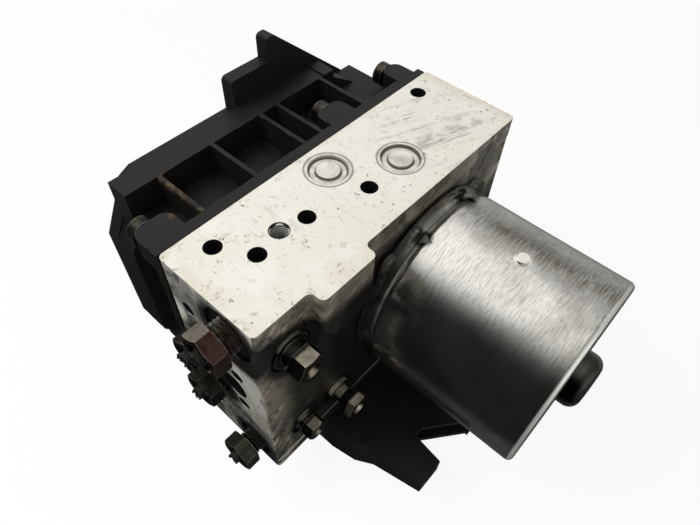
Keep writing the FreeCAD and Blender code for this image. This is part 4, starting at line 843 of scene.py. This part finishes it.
FLOOR_SIZE = 6.0
FLOOR_GAP = 0.0005
FLOOR_GLOW_SHARE = 0.91
FILL_STRENGTH = 0.22
LAMP_AIM = Vector((0.03, 0.0, -0.04))
SOFT_BOX_SIZE = 0.55
SOFT_BOX_POWER = 9.5
SIDE_FILL_SIZE = 0.5
SIDE_FILL_POWER = 2.6
CAMERA_PLACE = at(-42.67, 109.84, -132.54)
PHOTO_WIDTH = 700.0
FOCAL_LENGTH = 574.33
SENSOR_WIDTH = 36.0
NEAREST_SEEN = 0.005


def stage_floor():
    """A white table: the camera sees it nearly white, with the object's soft shadow on it."""
    bpy.ops.object.select_all(action="DESELECT")
    bpy.ops.mesh.primitive_plane_add(size=FLOOR_SIZE, location=(0, 0, cad_low.z - FLOOR_GAP))
    floor = bpy.context.active_object
    floor.name = "floor"
    floor.visible_glossy = False
    material = bpy.data.materials.new("pale floor")
    material.use_nodes = True
    tree = material.node_tree
    shader = tree.nodes["Principled BSDF"]
    feed(tree, shader.inputs["Base Color"], (0.90, 0.90, 0.90))
    feed(tree, shader.inputs["Roughness"], 0.9)
    feed(tree, shader.inputs["Specular IOR Level"], 0.1)
    white = add(tree, "ShaderNodeEmission", {"Color": (1, 1, 1), "Strength": 1.0})
    rays = tree.nodes.new("ShaderNodeLightPath")
    share = math_node(tree, "MULTIPLY", rays.outputs["Is Camera Ray"], FLOOR_GLOW_SHARE)
    both = add(tree, "ShaderNodeMixShader", {0: share, 1: shader.outputs[0], 2: white.outputs[0]})
    link(tree, both.outputs[0], tree.nodes["Material Output"].inputs["Surface"])
    floor.data.materials.append(material)


def studio_glow(tree):
    """What polished metal mirrors: a soft box and a pale ceiling, a far wall, a table and a window strip."""
    ray = add(tree, "ShaderNodeTexCoord").outputs["Generated"]
    x, y, z = parts_of(tree, ray)
    toward_box = vector_node(tree, "DOT_PRODUCT", ray, (-0.015, 0.398, 0.917), "Value")
    above = math_node(tree, "ADD", ramp(tree, toward_box, 0.64, 0.97, 0.0, 0.85),
                      ramp(tree, z, 0.08, 0.72, 0.01, 0.48))
    above = math_node(tree, "MULTIPLY", above, ramp(tree, x, -0.88, -0.22))
    wall = math_node(tree, "MULTIPLY", ramp(tree, x, 0.30, 0.95, 0.0, 0.46), ramp(tree, z, -0.92, -0.15))
    table = math_node(tree, "MULTIPLY", ramp(tree, z, -0.76, -0.92, 0.0, 0.11),
                      ramp(tree, y, 0.45, -0.36, 0.12, 1.0))
    window = math_node(tree, "MULTIPLY", ramp(tree, y, -0.78, -0.95, 0.0, 0.75),
                       ramp(tree, z, -0.35, 0.15))
    room = math_node(tree, "ADD", ramp(tree, y, -0.50, -0.92, 0.0, 0.26),
                     ramp(tree, y, 0.56, 0.92, 0.0, 0.30))
    low = math_node(tree, "ADD", math_node(tree, "ADD", wall, table), math_node(tree, "ADD", window, room))
    return math_node(tree, "ADD", above, low)


def white_world():
    """White to the camera, a weak even fill to matt surfaces, and the studio's glow to shiny ones."""
    world = bpy.data.worlds.new("studio")
    bpy.context.scene.world = world
    world.cycles.sampling_method = "NONE"
    world.use_nodes = True
    tree = world.node_tree
    tree.nodes.clear()
    out = tree.nodes.new("ShaderNodeOutputWorld")
    seen = add(tree, "ShaderNodeBackground", {"Color": (1, 1, 1), "Strength": 1.0})
    fill = add(tree, "ShaderNodeBackground", {"Color": (0.97, 0.98, 1.0), "Strength": FILL_STRENGTH})
    mirrored = add(tree, "ShaderNodeBackground", {"Color": (1, 0.99, 0.97), "Strength": studio_glow(tree)})
    rays = tree.nodes.new("ShaderNodeLightPath")
    lit = add(tree, "ShaderNodeMixShader", {0: rays.outputs["Is Glossy Ray"], 1: fill.outputs[0],
                                            2: mirrored.outputs[0]})
    both = add(tree, "ShaderNodeMixShader", {0: rays.outputs["Is Camera Ray"], 1: lit.outputs[0],
                                             2: seen.outputs[0]})
    link(tree, both.outputs[0], out.inputs["Surface"])


def lamp(name, place, size, power):
    """A soft lamp that lights without showing in the metal, which mirrors the studio's glow instead."""
    data = bpy.data.lights.new(name, "AREA")
    data.energy = power
    data.size = size
    made = bpy.data.objects.new(name, data)
    bpy.context.scene.collection.objects.link(made)
    made.location = place
    made.visible_glossy = False
    made.rotation_euler = (LAMP_AIM - place).to_track_quat("-Z", "Y").to_euler()


def studio_lamps():
    """A large soft box above the pipe nuts and a weaker lamp on the motor's side."""
    lamp("soft box", LAMP_AIM + Vector((-0.474, 0.398, 0.787)) * 1.05, SOFT_BOX_SIZE, SOFT_BOX_POWER)
    lamp("side fill", LAMP_AIM + Vector((-0.50, -0.62, 0.62)), SIDE_FILL_SIZE, SIDE_FILL_POWER)


def photo_camera():
    """The camera that the photograph was taken with, fitted to the block's edges."""
    data = bpy.data.cameras.new("camera")
    data.sensor_width = SENSOR_WIDTH
    data.lens = FOCAL_LENGTH / PHOTO_WIDTH * SENSOR_WIDTH
    data.clip_start = NEAREST_SEEN
    camera = bpy.data.objects.new("camera", data)
    bpy.context.scene.collection.objects.link(camera)
    right = Vector((0.66839, -0.74337, 0.02571))
    up = Vector((0.57419, 0.53763, 0.61747))
    forward = Vector((0.47283, 0.39794, -0.78617))
    turn = Matrix((right, up, -forward)).transposed().to_4x4()
    camera.matrix_world = Matrix.Translation(CAMERA_PLACE) @ turn
    bpy.context.scene.camera = camera


dress_nodes()
torn_pipes()
coil_springs()
stage_floor()
white_world()
studio_lamps()
photo_camera()
bpy.context.scene.view_settings.view_transform = "Standard"
